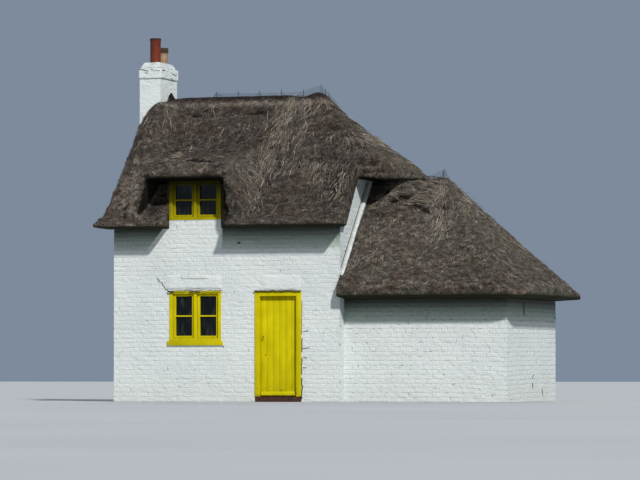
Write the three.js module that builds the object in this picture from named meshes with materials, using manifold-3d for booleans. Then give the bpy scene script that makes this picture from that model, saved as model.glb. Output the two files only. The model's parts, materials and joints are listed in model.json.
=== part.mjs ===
// A thatched cottage: a white painted brick house of two storeys with a half-hipped
// thatched roof and an eyebrow window, and a lower single-storey wing with a hipped
// thatched roof at its right end. Units are millimetres, +Z is up and the front faces -Y.
// While it is built, X = 0 and Y = 0 are the house's front left corner; the group at the
// end moves the origin to the middle of the footprint, on the ground.
import * as THREE from 'three';
import { mergeVertices } from 'three/addons/utils/BufferGeometryUtils.js';
import Module from 'manifold-3d';

const wasm = await Module();
wasm.setup();

// Driving dimensions
const GAP = 0.3; // left between a piece and the neighbour that it is fitted to
const WALL = 230; // one brick thick
const HOUSE_LENGTH = 4590;
const HOUSE_DEPTH = 3500;
const HOUSE_WALL_TOP = 3300;
const WING_LENGTH = 3200;
const WING_SETBACK = 250;
const WING_WALL_TOP = 1930;
const FLOOR_TOP = 100;

const HOUSE_RIDGE_Y = HOUSE_DEPTH / 2;
const WING_END = HOUSE_LENGTH + WING_LENGTH;
const WING_RIDGE_Y = (WING_SETBACK + HOUSE_DEPTH) / 2;

// House roof: where the top of the coat crosses the wall faces, and how it rises
const HOUSE_COAT_RISE = 370; // from the wall top to the coat's top, over the wall face
const HOUSE_PITCH = 1.32;
const HOUSE_EAVE_OVERHANG = 500;
const HOUSE_EAVE_LIP = 70;
const HOUSE_EAVE_FLARE = 0.55;
const HOUSE_EAVE_ROUNDING = 120;
const HOUSE_SOFFIT_RISE = 20;
const HOUSE_COAT = 450; // upright thickness of the coat
const VERGE_OVERHANG_LOW = 240; // at the eaves; it dies away on the way up
const VERGE_OVERHANG_HIGH = 10;
const VERGE_LENGTH = 1700; // from the eaves to where it has died away
const RIGHT_VERGE_OVERHANG = 110;
const RIDGE_ROUNDING = 320;
// Old thatch is uneven: swells and hollows of this height run along and down the slopes
const SWELL = { height: 22, along: 1100, down: 950 };
const HIP_START = 3600; // X of the right end of the house's ridge
const HIP_START_HEIGHT = 6010;
const HIP_PITCH = 1.079;
const HIP_SWEEP = 0.00013; // how fast the hip flattens as it sweeps down to the wing
const HIP_SOFFIT = 4240;
const RIDGE_KNOT = { height: 90, length: 260, width: 200 }; // a bundle at the ridge's right end
const RIDGE_END = { height: 70, length: 110, width: 90 }; // and a peak against the stack
// The thatch is swept up to this height round the near corners of the chimney stack
const SWEPT_UP = { top: 5850, left: -20, right: 1150, low: 400, fadeAlong: 330, fadeDown: 380 };
// The half hip's nose on the plan: it narrows past the verge to a tip on the wing's ridge
const NOSE = {
  halfWidth: 960, shoulder: 560, neck: 330, neckHalfWidth: 420, tip: 5830, tipHalfWidth: 90,
  root: 40, margin: 60,
};

// Wing roof
const WING_COAT_AT_ZERO = 2350;
const WING_PITCH = 1.05;
const WING_OVERHANG = 420;
const WING_COAT = 400;
const WING_HIP_START = 6130;
const WING_HIP_ROUNDING = 0.3; // how fast the hips grow rounder on the way down
const WING_SOFFIT_RISE = 45;
const WING_CORNER_RADIUS = 420;
const WING_KNOT = { height: 60, length: 260, width: 200 };
// Thatch that fills the space between the wing's ridge and the half hip's nose. From `reach`
// out of the ridge it rises to just inside the nose's edge, which lies `noseHalf` from the
// house's ridge up to noseFrom and then tapers, and it falls away towards the gable and the tip
const SADDLE = {
  left: 4700, right: 6150, reach: 554, widening: 0.16, narrowest: 120, tucked: 60,
  noseFrom: 5100, noseHalf: 860, noseTaper: 1.055, lowest: 3700, climb: 1.125, top: 4250,
  fallFrom: 5850, fall: 0.0096, depth: 150,
};

// Eyebrow window: a hood of thatch that stands out from the roof over the upper window
const HOOD = {
  middle: 1600, flatHalfWidth: 750, halfWidth: 1200, reachY: 1180, lipY: -440, top: 4500,
  pitch: 0.25, shoulder: 0.0042, rounding: 160, lipDrop: 130, lipRound: 220, underside: 4240,
};
// How far the space under the hood reaches outside the upper window, seen from the front: at
// its foot, where it is widest, and at its head
const MOUTH_LEFT = { foot: 477, widest: 477, widestHeight: 3590, head: 293 };
const MOUTH_RIGHT = { foot: 262, widest: 262, widestHeight: 3600, head: 200 };
const CHEEK = 60; // thatch left beside the window, between it and the space under the hood
const POCKET_LEFT_Y = 440;
const POCKET_RIGHT_Y = 300;
// The gap in the eaves in front of the window, at their outer edge and further in
const GAP_LEFT = -40;
const GAP_RIGHT = { foot: 190, widest: 310, widestHeight: 3600, head: 60 };
const GAP_SPLAY_Y = -150;
const EAVE_CUT_LOW = HOUSE_WALL_TOP - 100;
const ROOM_BEHIND_Y = 1130;

// Windows: outer sizes of the frames
const LOWER_WINDOW = { x0: 1145, x1: 2203, z0: 1157, z1: 2108 };
const UPPER_WINDOW = { x0: 1138, x1: 2196, z0: 3465, z1: 4230 };
const SILL_HEIGHT = 84;
const SILL_HORN = 34;
const SILL_PROUD = 45;
const FRAME_SETBACK = 25;
const FRAME_DEPTH = 90;
const FRAME_STILE = 65;
const FRAME_RAIL = 50;
const MULLION = 60;
const CASEMENT_SETBACK = 5;
const CASEMENT_STILE = 48;
const CASEMENT_DEPTH = 42;
const GLAZING_BAR = 26;
const GLASS = 5;

// Door
const DOOR = { x0: 2885, x1: 3822, z1: 2100 };
const DOOR_JAMB = 84;
const DOOR_STOP = 16;
const DOOR_FRAME_SETBACK = 18;
const DOOR_FRAME_DEPTH = 100;
const DOOR_CLEARANCE = 9;
const DOOR_LEAF_FRONT = 64;
const DOOR_BOARDS = 6;
const DOOR_BOARD_THICKNESS = 24;
const DOOR_LEDGE_THICKNESS = 22;
const DOOR_BOARD_GROOVE = 5;
const DOOR_LEDGES = { low: 330, high: 1700 };
const DOOR_LEDGE_HEIGHT = 130;
const DOOR_LEDGE_END = 30; // from the leaf's edge to a ledge's end
const WEATHERBOARD = { reach: 34, height: 75, nose: 25, top: 10, lift: 12 };
const LATCH = {
  fromEdge: 62, plateHalf: 18, plateLow: 1150, plateHigh: 1290, plate: 3,
  thumbHalf: 9, thumbLow: 1248, thumbHigh: 1260, thumbReach: 30,
};
// The pins stand behind the right jamb: `behind` from its back, `inside` from its inner face
const HINGE = {
  pinRadius: 6, bore: 7, barrel: 12, half: 25, behind: 18, inside: 4,
  strap: 230, strapHalf: 18, iron: 5, lug: 30, foot: 20, plateNear: 16, plateFar: 72,
};
const LINTEL_BEARING = 100;
const LINTEL_HEIGHT = 290;
const DOORWAY = { y0: 1350, y1: 2150, top: 2100 }; // between the house and the wing

// Chimney
const STACK = { x0: 0, x1: 431, y0: 1305, y1: 2180, top: 6295 };
const BAND_PROUD = 22;
const BAND_HEIGHT = 205;
const HAUNCH = { height: 120, topLength: 0.8, topWidth: 0.72 };
const POT = {
  radius: 110, wall: 18, sides: 20, collar: 150, collarSlope: 20, neck: 8, waist: 12,
  lip: 50, lipSlope: 10,
};
const RED_POT = { x: 215, y: 1580, top: 7100 };
const BUFF_POT = { x: 215, y: 1965, top: 6940 };

// Upper floor
const UPPER_FLOOR_TOP = 2560;
const UPPER_FLOOR_BOARDS = 35;
const JOIST = { width: 75, height: 125, count: 8 };
const STAIRWELL = { x0: 3380, x1: 4260, y0: 2420, y1: 3170 };

// Trim
const GABLE_HEAD_TRIM = 60; // how far a gable wall is drawn into the coat before its cut
const NETTING = { thickness: 6, sunk: 12, step: 100 };
// Height of the standing netting over the ridge, by X
const HOUSE_NETTING = [
  [1300, 20], [1420, 90], [2300, 100], [3180, 105], [3600, 150], [3760, 95], [4100, 60],
  [4260, 20],
];
const WING_NETTING = [[5930, 20], [6070, 170], [6180, 25]];
const FILLET = { width: 65, root: 60, low: 45, high: 150 };

const COLOURS = {
  limewash: { color: 0xe6e8ea, roughness: 0.85, metalness: 0 },
  render: { color: 0xdedfdd, roughness: 0.9, metalness: 0 },
  thatch: { color: 0x655746, roughness: 1, metalness: 0 },
  brick: { color: 0xd9dad8, roughness: 0.95, metalness: 0 },
  mortar: { color: 0xc2c1bc, roughness: 0.95, metalness: 0 },
  redClay: { color: 0x8f4327, roughness: 0.8, metalness: 0 },
  buffClay: { color: 0xb8925a, roughness: 0.8, metalness: 0 },
  yellowPaint: { color: 0xcdbb1a, roughness: 0.5, metalness: 0 },
  glass: { color: 0x1d2426, roughness: 0.08, metalness: 0 },
  iron: { color: 0x2b2825, roughness: 0.6, metalness: 0.8 },
  wire: { color: 0x77736b, roughness: 0.5, metalness: 0.9 },
  boards: { color: 0x7a5c3c, roughness: 0.7, metalness: 0 },
  tiles: { color: 0x7f5444, roughness: 0.8, metalness: 0 },
};
const MATERIALS = Object.fromEntries(
  Object.entries(COLOURS).map(([name, values]) => [name, new THREE.MeshStandardMaterial(values)]),
);

const cottage = new THREE.Group();
const house = new THREE.Group();
cottage.add(house);

function addPiece(name, geometry, material) {
  const mesh = new THREE.Mesh(geometry, MATERIALS[material]);
  mesh.name = name;
  house.add(mesh);
}

// Solids

function box(x0, x1, y0, y1, z0, z1) {
  const geometry = new THREE.BoxGeometry(x1 - x0, y1 - y0, z1 - z0);
  return geometry.translate((x0 + x1) / 2, (y0 + y1) / 2, (z0 + z1) / 2);
}

function outline(points, holes = []) {
  const shape = new THREE.Shape(points.map(([a, b]) => new THREE.Vector2(a, b)));
  for (const hole of holes) {
    shape.holes.push(new THREE.Path(hole.map(([a, b]) => new THREE.Vector2(a, b))));
  }
  return shape;
}

function rectangle(a0, a1, b0, b1) {
  return [[a0, b0], [a1, b0], [a1, b1], [a0, b1]];
}

// An outline drawn on the front view (X, Z), given thickness from y0 to y1
function frontPrism(shape, y0, y1) {
  const geometry = new THREE.ExtrudeGeometry(shape, { depth: y1 - y0, bevelEnabled: false });
  const turn = new THREE.Matrix4().makeBasis(
    new THREE.Vector3(1, 0, 0), new THREE.Vector3(0, 0, 1), new THREE.Vector3(0, -1, 0),
  );
  return geometry.applyMatrix4(turn).translate(0, y1, 0);
}

// An outline drawn on the side view (Y, Z), given thickness from x0 to x1
function sidePrism(shape, x0, x1) {
  const geometry = new THREE.ExtrudeGeometry(shape, { depth: x1 - x0, bevelEnabled: false });
  const turn = new THREE.Matrix4().makeBasis(
    new THREE.Vector3(0, 1, 0), new THREE.Vector3(0, 0, 1), new THREE.Vector3(1, 0, 0),
  );
  return geometry.applyMatrix4(turn).translate(x0, 0, 0);
}

// An outline drawn on the plan (X, Y), given thickness from z0 to z1
function planPrism(shape, z0, z1) {
  const geometry = new THREE.ExtrudeGeometry(
    shape, { depth: z1 - z0, bevelEnabled: false, curveSegments: 8 },
  );
  return geometry.translate(0, 0, z0);
}

function toSolid(geometry) {
  const bare = geometry.index ? geometry.toNonIndexed() : geometry.clone();
  bare.deleteAttribute('normal');
  bare.deleteAttribute('uv');
  const merged = mergeVertices(bare, 0.01);
  return new wasm.Manifold(new wasm.Mesh({
    numProp: 3,
    vertProperties: new Float32Array(merged.attributes.position.array),
    triVerts: new Uint32Array(merged.index.array),
  }));
}

function toGeometry(solid) {
  const mesh = solid.getMesh();
  const geometry = new THREE.BufferGeometry();
  geometry.setAttribute('position', new THREE.BufferAttribute(mesh.vertProperties, 3));
  geometry.setIndex(new THREE.BufferAttribute(mesh.triVerts, 1));
  geometry.computeVertexNormals();
  return geometry;
}

function joined(first, ...others) {
  return others.reduce((sum, other) => sum.add(other), first);
}

function without(first, ...others) {
  return others.reduce((rest, other) => rest.subtract(other), first);
}

// The mirror image of a geometry about the house's ridge line, for the back
function mirrored(geometry) {
  const flat = geometry.index ? geometry.toNonIndexed() : geometry.clone();
  const position = flat.attributes.position;
  for (let i = 0; i < position.count; i += 3) {
    const corners = [0, 2, 1].map((k) => [
      position.getX(i + k), HOUSE_DEPTH - position.getY(i + k), position.getZ(i + k),
    ]);
    corners.forEach((corner, k) => position.setXYZ(i + k, ...corner));
  }
  return flat;
}

function mirroredSolid(solid) {
  return toSolid(mirrored(toGeometry(solid)));
}

// A block divided in plan by `rows`, a list of Y, and columns(y), a list of X, whose upper
// side is lifted to the surface top(x, y) and its lower side to bottom(x, y)
function mound({ rows, columns, top, bottom }) {
  const stepsX = columns(rows[0]).length - 1;
  const stepsY = rows.length - 1;
  const geometry = new THREE.BoxGeometry(1, 1, 1, stepsX, stepsY, 1);
  const position = geometry.attributes.position;
  for (let i = 0; i < position.count; i += 1) {
    const y = rows[Math.round((position.getY(i) + 0.5) * stepsY)];
    const x = columns(y)[Math.round((position.getX(i) + 0.5) * stepsX)];
    position.setXYZ(i, x, y, position.getZ(i) > 0 ? top(x, y) : bottom(x, y));
  }
  return geometry;
}

function even(a, b, steps) {
  return Array.from({ length: steps + 1 }, (_, i) => a + ((b - a) * i) / steps);
}

// From a to b, closer together at both ends
function closeAtEnds(a, b, steps) {
  return even(0, Math.PI, steps).map((angle) => a + ((b - a) * (1 - Math.cos(angle))) / 2);
}

// Rows up one slope and down the other, closer together at the eaves and the ridge
function rowsOverRidge(front, ridge, back, steps) {
  return [...closeAtEnds(front, ridge, steps), ...closeAtEnds(ridge, back, steps).slice(1)];
}

const HIP_CROWDING = 1.6; // 1 would be even steps

// Columns from left to right of which one lies at the hip, and the others crowd round it
function columnsAroundHip(left, hip, right, stepsLeft, stepsRight) {
  const crowd = (end, steps) => (
    even(0, 1, steps).slice(1).map((t) => hip + (end - hip) * t ** HIP_CROWDING)
  );
  return [...crowd(left, stepsLeft).reverse(), hip, ...crowd(right, stepsRight)];
}

// The lower of two surfaces with their meeting line rounded over a height of `rounding`
function softLower(a, b, rounding) {
  const overlap = Math.max(rounding - Math.abs(a - b), 0) / rounding;
  return Math.min(a, b) - (overlap * overlap * rounding) / 4;
}

function softHigher(a, b, rounding) {
  return -softLower(-a, -b, rounding);
}

// Thatch surfaces

function distanceFromFront(y) {
  return Math.min(y, HOUSE_DEPTH - y);
}

function houseSlope(y) {
  const straight = HOUSE_WALL_TOP + HOUSE_COAT_RISE + HOUSE_PITCH * y;
  const lip = HOUSE_WALL_TOP + HOUSE_SOFFIT_RISE + HOUSE_EAVE_LIP;
  const flare = lip + HOUSE_EAVE_FLARE * (y + HOUSE_EAVE_OVERHANG);
  return softHigher(straight, flare, HOUSE_EAVE_ROUNDING);
}

function hipSlope(x) {
  const run = x - HIP_START;
  return HIP_START_HEIGHT - HIP_PITCH * run + HIP_SWEEP * run * run;
}

// X at which the hip's slope is as high as the front or back slope is at y
function hipLine(y) {
  const drop = HIP_START_HEIGHT - houseSlope(distanceFromFront(y));
  const root = Math.sqrt(Math.max(HIP_PITCH ** 2 - 4 * HIP_SWEEP * drop, 0));
  return HIP_START + (HIP_PITCH - root) / (2 * HIP_SWEEP);
}

function knot(x, y, knotX, knotY, { height, length, width }) {
  return height * Math.exp(-(((x - knotX) / length) ** 2) - ((y - knotY) / width) ** 2);
}

function swell(x, fromRidge) {
  const along = (2 * Math.PI * x) / SWELL.along;
  const down = (2 * Math.PI * fromRidge) / SWELL.down;
  return SWELL.height * Math.sin(along - Math.cos(down / 2)) * Math.cos(down);
}

function houseTop(x, y) {
  const slopes = softLower(houseSlope(y), houseSlope(HOUSE_DEPTH - y), RIDGE_ROUNDING);
  const bundle = knot(x, y, HIP_START, HOUSE_RIDGE_Y, RIDGE_KNOT);
  const uneven = swell(x, Math.abs(y - HOUSE_RIDGE_Y));
  return softLower(slopes, hipSlope(x), RIDGE_ROUNDING) + bundle + uneven;
}

const SUNK = 12; // how far an added layer's edges lie under the coat's surface

function hoodTop(x, y) {
  const side = Math.max(Math.abs(x - HOOD.middle) - HOOD.flatHalfWidth, 0);
  const fromLip = y - HOOD.lipY;
  const rounding = HOOD.lipDrop * Math.max(1 - fromLip / HOOD.lipRound, 0) ** 2;
  const crown = HOOD.top + HOOD.pitch * fromLip - HOOD.shoulder * side * side - rounding;
  return softHigher(houseTop(x, y) - SUNK, crown, HOOD.rounding);
}

function sweptUpTop(x, y) {
  const { top, left, fadeAlong, fadeDown } = SWEPT_UP;
  const base = houseTop(x, y) - SUNK;
  const before = Math.max(STACK.y0 - distanceFromFront(y), 0);
  const acrossFace = THREE.MathUtils.clamp((x - left) / (STACK.x1 - left), 0, 1);
  const past = Math.max(x - STACK.x1, 0);
  const share = Math.sin((Math.PI / 2) * acrossFace)
    * Math.exp(-((past / fadeAlong) ** 2) - (before / fadeDown) ** 2);
  const peak = knot(x, y, STACK.x1, HOUSE_RIDGE_Y, RIDGE_END);
  return base + Math.max(top - base, 0) * share + peak;
}

function wingSlope(y) {
  return WING_COAT_AT_ZERO + WING_PITCH * y;
}

function wingTop(x, y) {
  const front = wingSlope(y);
  const back = wingSlope(WING_SETBACK + HOUSE_DEPTH - y);
  const ridge = wingSlope(WING_RIDGE_Y);
  const end = ridge - WING_PITCH * (x - WING_HIP_START);
  const hipRounding = RIDGE_ROUNDING + WING_HIP_ROUNDING * Math.max(ridge - end, 0);
  const bundle = knot(x, y, WING_HIP_START, WING_RIDGE_Y, WING_KNOT);
  const uneven = swell(x, Math.abs(y - WING_RIDGE_Y));
  return softLower(softLower(front, back, RIDGE_ROUNDING), end, hipRounding) + bundle + uneven;
}

function saddleTop(x, y) {
  const fromRidge = Math.abs(y - WING_RIDGE_Y);
  const outer = SADDLE.reach + SADDLE.widening * (x - SADDLE.left);
  const taper = SADDLE.noseTaper * Math.max(x - SADDLE.noseFrom, 0);
  const offset = Math.sign(WING_RIDGE_Y - y) * (WING_RIDGE_Y - HOUSE_RIDGE_Y);
  const edge = SADDLE.noseHalf - taper + offset - SADDLE.tucked;
  const inner = THREE.MathUtils.clamp(edge, 0, outer - SADDLE.narrowest);
  const past = Math.max(x - SADDLE.fallFrom, 0);
  const highest = Math.min(SADDLE.lowest + SADDLE.climb * (x - SADDLE.left), SADDLE.top);
  const foot = wingTop(x, WING_RIDGE_Y - outer) - SUNK;
  const share = THREE.MathUtils.clamp((outer - fromRidge) / (outer - inner), 0, 1);
  const filled = THREE.MathUtils.lerp(foot, highest - SADDLE.fall * past * past, share);
  return Math.max(wingTop(x, y) - SUNK, filled);
}

// A copy moved up or down, so that what is cut by it stays clear of it
function moved(solid, rise) {
  return solid.translate([0, 0, rise]);
}

// Thatch

const HOUSE_UNDER = HOUSE_WALL_TOP + HOUSE_COAT_RISE - HOUSE_COAT;
const HOUSE_UNDER_RIDGE = HOUSE_UNDER + HOUSE_PITCH * HOUSE_RIDGE_Y;
const SOFFIT_END_Y = (HOUSE_COAT - HOUSE_COAT_RISE) / HOUSE_PITCH;
const RIGHT_VERGE = HOUSE_LENGTH + RIGHT_VERGE_OVERHANG;
const FAR = 1500; // further out than any thatch

// The end view of the space that the coat's slopes leave under them, from a given height
// up, between the wall faces that lie `inset` inside the house's front and back
function underSlopes(low, inset, extra = 0) {
  const edge = HOUSE_UNDER + HOUSE_PITCH * inset + extra;
  return outline([
    [inset, low], [HOUSE_DEPTH - inset, low], [HOUSE_DEPTH - inset, edge],
    [HOUSE_RIDGE_Y, HOUSE_UNDER_RIDGE + extra], [inset, edge],
  ]);
}

// Everything below the underside of the half hip
function underHip(extra = 0) {
  const top = hipSlope(HIP_START) - HOUSE_COAT + extra;
  const end = hipSlope(HOUSE_LENGTH) - HOUSE_COAT + extra;
  return toSolid(frontPrism(outline([
    [-FAR, 0], [HOUSE_LENGTH, 0], [HOUSE_LENGTH, end], [HIP_START, top], [-FAR, top],
  ]), -FAR, HOUSE_DEPTH + FAR));
}

function houseColumns(y) {
  const fromEave = distanceFromFront(y) + HOUSE_EAVE_OVERHANG;
  const up = THREE.MathUtils.clamp(fromEave / VERGE_LENGTH, 0, 1);
  const verge = -THREE.MathUtils.lerp(VERGE_OVERHANG_LOW, VERGE_OVERHANG_HIGH, up);
  const hip = Math.min(hipLine(y), RIGHT_VERGE - RIGHT_VERGE_OVERHANG);
  return columnsAroundHip(verge, hip, RIGHT_VERGE, 16, 4);
}

function houseCoat() {
  const soffit = (x, y) => {
    const out = Math.max(-distanceFromFront(y), 0) / HOUSE_EAVE_OVERHANG;
    return HOUSE_WALL_TOP + GAP + HOUSE_SOFFIT_RISE * out;
  };
  return toSolid(mound({
    rows: rowsOverRidge(
      -HOUSE_EAVE_OVERHANG, HOUSE_RIDGE_Y, HOUSE_DEPTH + HOUSE_EAVE_OVERHANG, 16,
    ),
    columns: houseColumns,
    top: houseTop,
    bottom: soffit,
  }));
}

// The half hip's nose, which sweeps out over the gable and down to the wing's ridge
function hipNose() {
  const root = HOUSE_LENGTH - NOSE.root;
  const { margin } = NOSE;
  const outwards = (side) => [
    RIGHT_VERGE + NOSE.shoulder, HOUSE_RIDGE_Y + side * NOSE.halfWidth,
    NOSE.tip - NOSE.neck, HOUSE_RIDGE_Y + side * NOSE.neckHalfWidth,
  ];
  const [shoulderX, shoulderY, neckX, neckY] = outwards(1);
  const shape = new THREE.Shape();
  shape.moveTo(root, HOUSE_RIDGE_Y - NOSE.halfWidth);
  shape.lineTo(RIGHT_VERGE, HOUSE_RIDGE_Y - NOSE.halfWidth);
  shape.bezierCurveTo(...outwards(-1), NOSE.tip, HOUSE_RIDGE_Y - NOSE.tipHalfWidth);
  shape.lineTo(NOSE.tip, HOUSE_RIDGE_Y + NOSE.tipHalfWidth);
  shape.bezierCurveTo(
    neckX, neckY, shoulderX, shoulderY, RIGHT_VERGE, HOUSE_RIDGE_Y + NOSE.halfWidth,
  );
  shape.lineTo(root, HOUSE_RIDGE_Y + NOSE.halfWidth);
  const reach = NOSE.halfWidth + margin;
  const columns = even(root, NOSE.tip + margin, 9);
  const block = toSolid(mound({
    rows: even(HOUSE_RIDGE_Y - reach, HOUSE_RIDGE_Y + reach, 16),
    columns: () => columns,
    top: houseTop,
    bottom: () => HIP_SOFFIT - margin,
  }));
  return block.intersect(toSolid(planPrism(shape, HIP_SOFFIT, HIP_START_HEIGHT)));
}

function eyebrowHood() {
  const columns = even(HOOD.middle - HOOD.halfWidth, HOOD.middle + HOOD.halfWidth, 20);
  const block = toSolid(mound({
    rows: closeAtEnds(HOOD.lipY, HOOD.reachY, 12),
    columns: () => columns,
    top: hoodTop,
    bottom: () => HOUSE_WALL_TOP + HOUSE_SOFFIT_RISE,
  }));
  const { x0, x1 } = UPPER_WINDOW;
  const mouth = frontPrism(outline(aroundUpperWindow(MOUTH_LEFT, MOUTH_RIGHT)), -FAR, 0);
  const leftPocket = frontPrism(outline([
    [x0 - MOUTH_LEFT.foot, EAVE_CUT_LOW], [x0 - CHEEK, EAVE_CUT_LOW],
    [x0 - CHEEK, HOOD.underside], [x0 - MOUTH_LEFT.head, HOOD.underside],
    [x0 - MOUTH_LEFT.widest, MOUTH_LEFT.widestHeight],
  ]), -1, POCKET_LEFT_Y);
  const rightPocket = frontPrism(outline([
    [x1 + CHEEK, EAVE_CUT_LOW], [x1 + MOUTH_RIGHT.foot, EAVE_CUT_LOW],
    [x1 + MOUTH_RIGHT.widest, MOUTH_RIGHT.widestHeight],
    [x1 + MOUTH_RIGHT.head, HOOD.underside], [x1 + CHEEK, HOOD.underside],
  ]), -1, POCKET_RIGHT_Y);
  return without(block, toSolid(mouth), toSolid(leftPocket), toSolid(rightPocket));
}

// An outline on the front view, by how far each corner lies outside the upper window
function aroundUpperWindow(left, right) {
  const { x0, x1 } = UPPER_WINDOW;
  return [
    [x0 - left.foot, EAVE_CUT_LOW], [x0 - left.widest, left.widestHeight],
    [x0 - left.head, HOOD.underside], [x1 + right.head, HOOD.underside],
    [x1 + right.widest, right.widestHeight], [x1 + right.foot, EAVE_CUT_LOW],
  ];
}

// A body between two outlines of like corners on the front view, at y0 and at y1
function frontLoft(near, far, y0, y1) {
  const body = frontPrism(outline(near), y0, y1);
  const position = body.attributes.position;
  for (let i = 0; i < position.count; i += 1) {
    if (position.getY(i) > (y0 + y1) / 2) {
      const corner = near.findIndex(([x, z]) => (
        Math.abs(x - position.getX(i)) < 1 && Math.abs(z - position.getZ(i)) < 1
      ));
      position.setX(i, far[corner][0]);
      position.setZ(i, far[corner][1]);
    }
  }
  return toSolid(body);
}

// What is cut out of the coat for the upper window: the eaves in front of it, whose ends
// close in on the frame, and the way for light into the room behind it
function windowGap() {
  const { x0, x1 } = UPPER_WINDOW;
  const upright = (out) => (
    { foot: out, widest: out, widestHeight: GAP_RIGHT.widestHeight, head: out }
  );
  const outer = aroundUpperWindow(upright(GAP_LEFT), GAP_RIGHT);
  const inner = aroundUpperWindow(upright(0), GAP_RIGHT);
  const atFrame = aroundUpperWindow(upright(0), upright(0));
  const eaves = frontLoft(outer, inner, -2 * HOUSE_EAVE_OVERHANG, GAP_SPLAY_Y);
  const splay = frontLoft(inner, atFrame, GAP_SPLAY_Y - 1, 0);
  const behind = toSolid(box(x0, x1, -1, ROOM_BEHIND_Y, EAVE_CUT_LOW, HOOD.underside));
  return joined(eaves, splay, behind);
}

function sweptUpThatch() {
  const { left, right, low } = SWEPT_UP;
  const columns = even(left, right, 14);
  return mound({
    rows: rowsOverRidge(low, HOUSE_RIDGE_Y, HOUSE_DEPTH - low, 10),
    columns: () => columns,
    top: sweptUpTop,
    bottom: (x, y) => houseTop(x, y) - HOUSE_COAT / 2,
  });
}

function houseThatch() {
  const low = EAVE_CUT_LOW;
  const attic = toSolid(sidePrism(
    underSlopes(low, WALL), WALL - 1, HOUSE_LENGTH - WALL + 1,
  ));
  const leftVerge = toSolid(sidePrism(underSlopes(low, SOFFIT_END_Y), -FAR, WALL));
  const rightGable = toSolid(sidePrism(
    underSlopes(low, SOFFIT_END_Y), HOUSE_LENGTH - WALL, HOUSE_LENGTH,
  ));
  const belowHipSoffit = box(0, NOSE.tip, -FAR, HOUSE_DEPTH + FAR, 0, HIP_SOFFIT);
  const rightVerge = toSolid(sidePrism(
    underSlopes(low, SOFFIT_END_Y), HOUSE_LENGTH - 1, RIGHT_VERGE + 1,
  )).intersect(toSolid(belowHipSoffit));
  const space = joined(joined(attic, leftVerge, rightGable).intersect(underHip()), rightVerge);
  const stackHole = toSolid(box(
    STACK.x0 - GAP, STACK.x1 + GAP, STACK.y0 - GAP, STACK.y1 + GAP, 0, STACK.top,
  ));
  const hood = eyebrowHood();
  const gap = windowGap();
  return without(
    joined(houseCoat(), hood, mirroredSolid(hood), hipNose(), toSolid(sweptUpThatch())),
    space, stackHole, gap, mirroredSolid(gap),
  );
}

const WING_LATTICE_MARGIN = 30; // past the eaves, which are then cut to their plan

function wingColumns(y) {
  const hip = WING_HIP_START + Math.abs(y - WING_RIDGE_Y);
  const right = WING_END + WING_OVERHANG + WING_LATTICE_MARGIN;
  return columnsAroundHip(HOUSE_LENGTH + GAP, hip, right, 9, 6);
}

function wingThatch() {
  const left = HOUSE_LENGTH + GAP;
  const right = WING_END + WING_OVERHANG;
  const front = WING_SETBACK - WING_OVERHANG;
  const back = HOUSE_DEPTH + WING_OVERHANG;
  const radius = WING_CORNER_RADIUS;
  const shape = new THREE.Shape();
  shape.moveTo(left, front);
  shape.lineTo(right - radius, front);
  shape.quadraticCurveTo(right, front, right, front + radius);
  shape.lineTo(right, back - radius);
  shape.quadraticCurveTo(right, back, right - radius, back);
  shape.lineTo(left, back);
  const soffit = (x, y) => {
    const out = Math.max(WING_SETBACK - y, y - HOUSE_DEPTH, x - WING_END, 0) / WING_OVERHANG;
    return WING_WALL_TOP + GAP + WING_SOFFIT_RISE * out;
  };
  const coat = toSolid(mound({
    rows: rowsOverRidge(
      front - WING_LATTICE_MARGIN / 2, WING_RIDGE_Y, back + WING_LATTICE_MARGIN / 2, 14,
    ),
    columns: wingColumns,
    top: wingTop,
    bottom: soffit,
  }));
  const saddleColumns = even(SADDLE.left, SADDLE.right, 12);
  const saddleReach = SADDLE.reach + SADDLE.widening * (SADDLE.right - SADDLE.left);
  const saddle = toSolid(mound({
    rows: even(WING_RIDGE_Y - saddleReach, WING_RIDGE_Y + saddleReach, 24),
    columns: () => saddleColumns,
    top: saddleTop,
    bottom: (x, y) => wingTop(x, y) - SADDLE.depth,
  }));
  const inner = WING_SETBACK + WALL;
  const farInner = HOUSE_DEPTH - WALL;
  const under = wingSlope(0) - WING_COAT;
  const ridge = under + WING_PITCH * WING_RIDGE_Y;
  const low = WING_WALL_TOP / 2;
  const betweenSlopes = toSolid(sidePrism(outline([
    [inner, low], [farInner, low], [farInner, under + WING_PITCH * inner],
    [WING_RIDGE_Y, ridge], [inner, under + WING_PITCH * inner],
  ]), HOUSE_LENGTH - 1, WING_END - WALL));
  const wallHead = ridge - WING_PITCH * (WING_END - WALL - WING_HIP_START);
  const belowHip = toSolid(frontPrism(outline([
    [HOUSE_LENGTH - 1, 0], [WING_END - WALL, 0], [WING_END - WALL, wallHead],
    [WING_HIP_START, ridge], [HOUSE_LENGTH - 1, ridge],
  ]), 0, HOUSE_DEPTH));
  return without(
    joined(coat.intersect(toSolid(planPrism(shape, 0, HIP_START_HEIGHT))), saddle),
    betweenSlopes.intersect(belowHip),
  );
}

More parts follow.
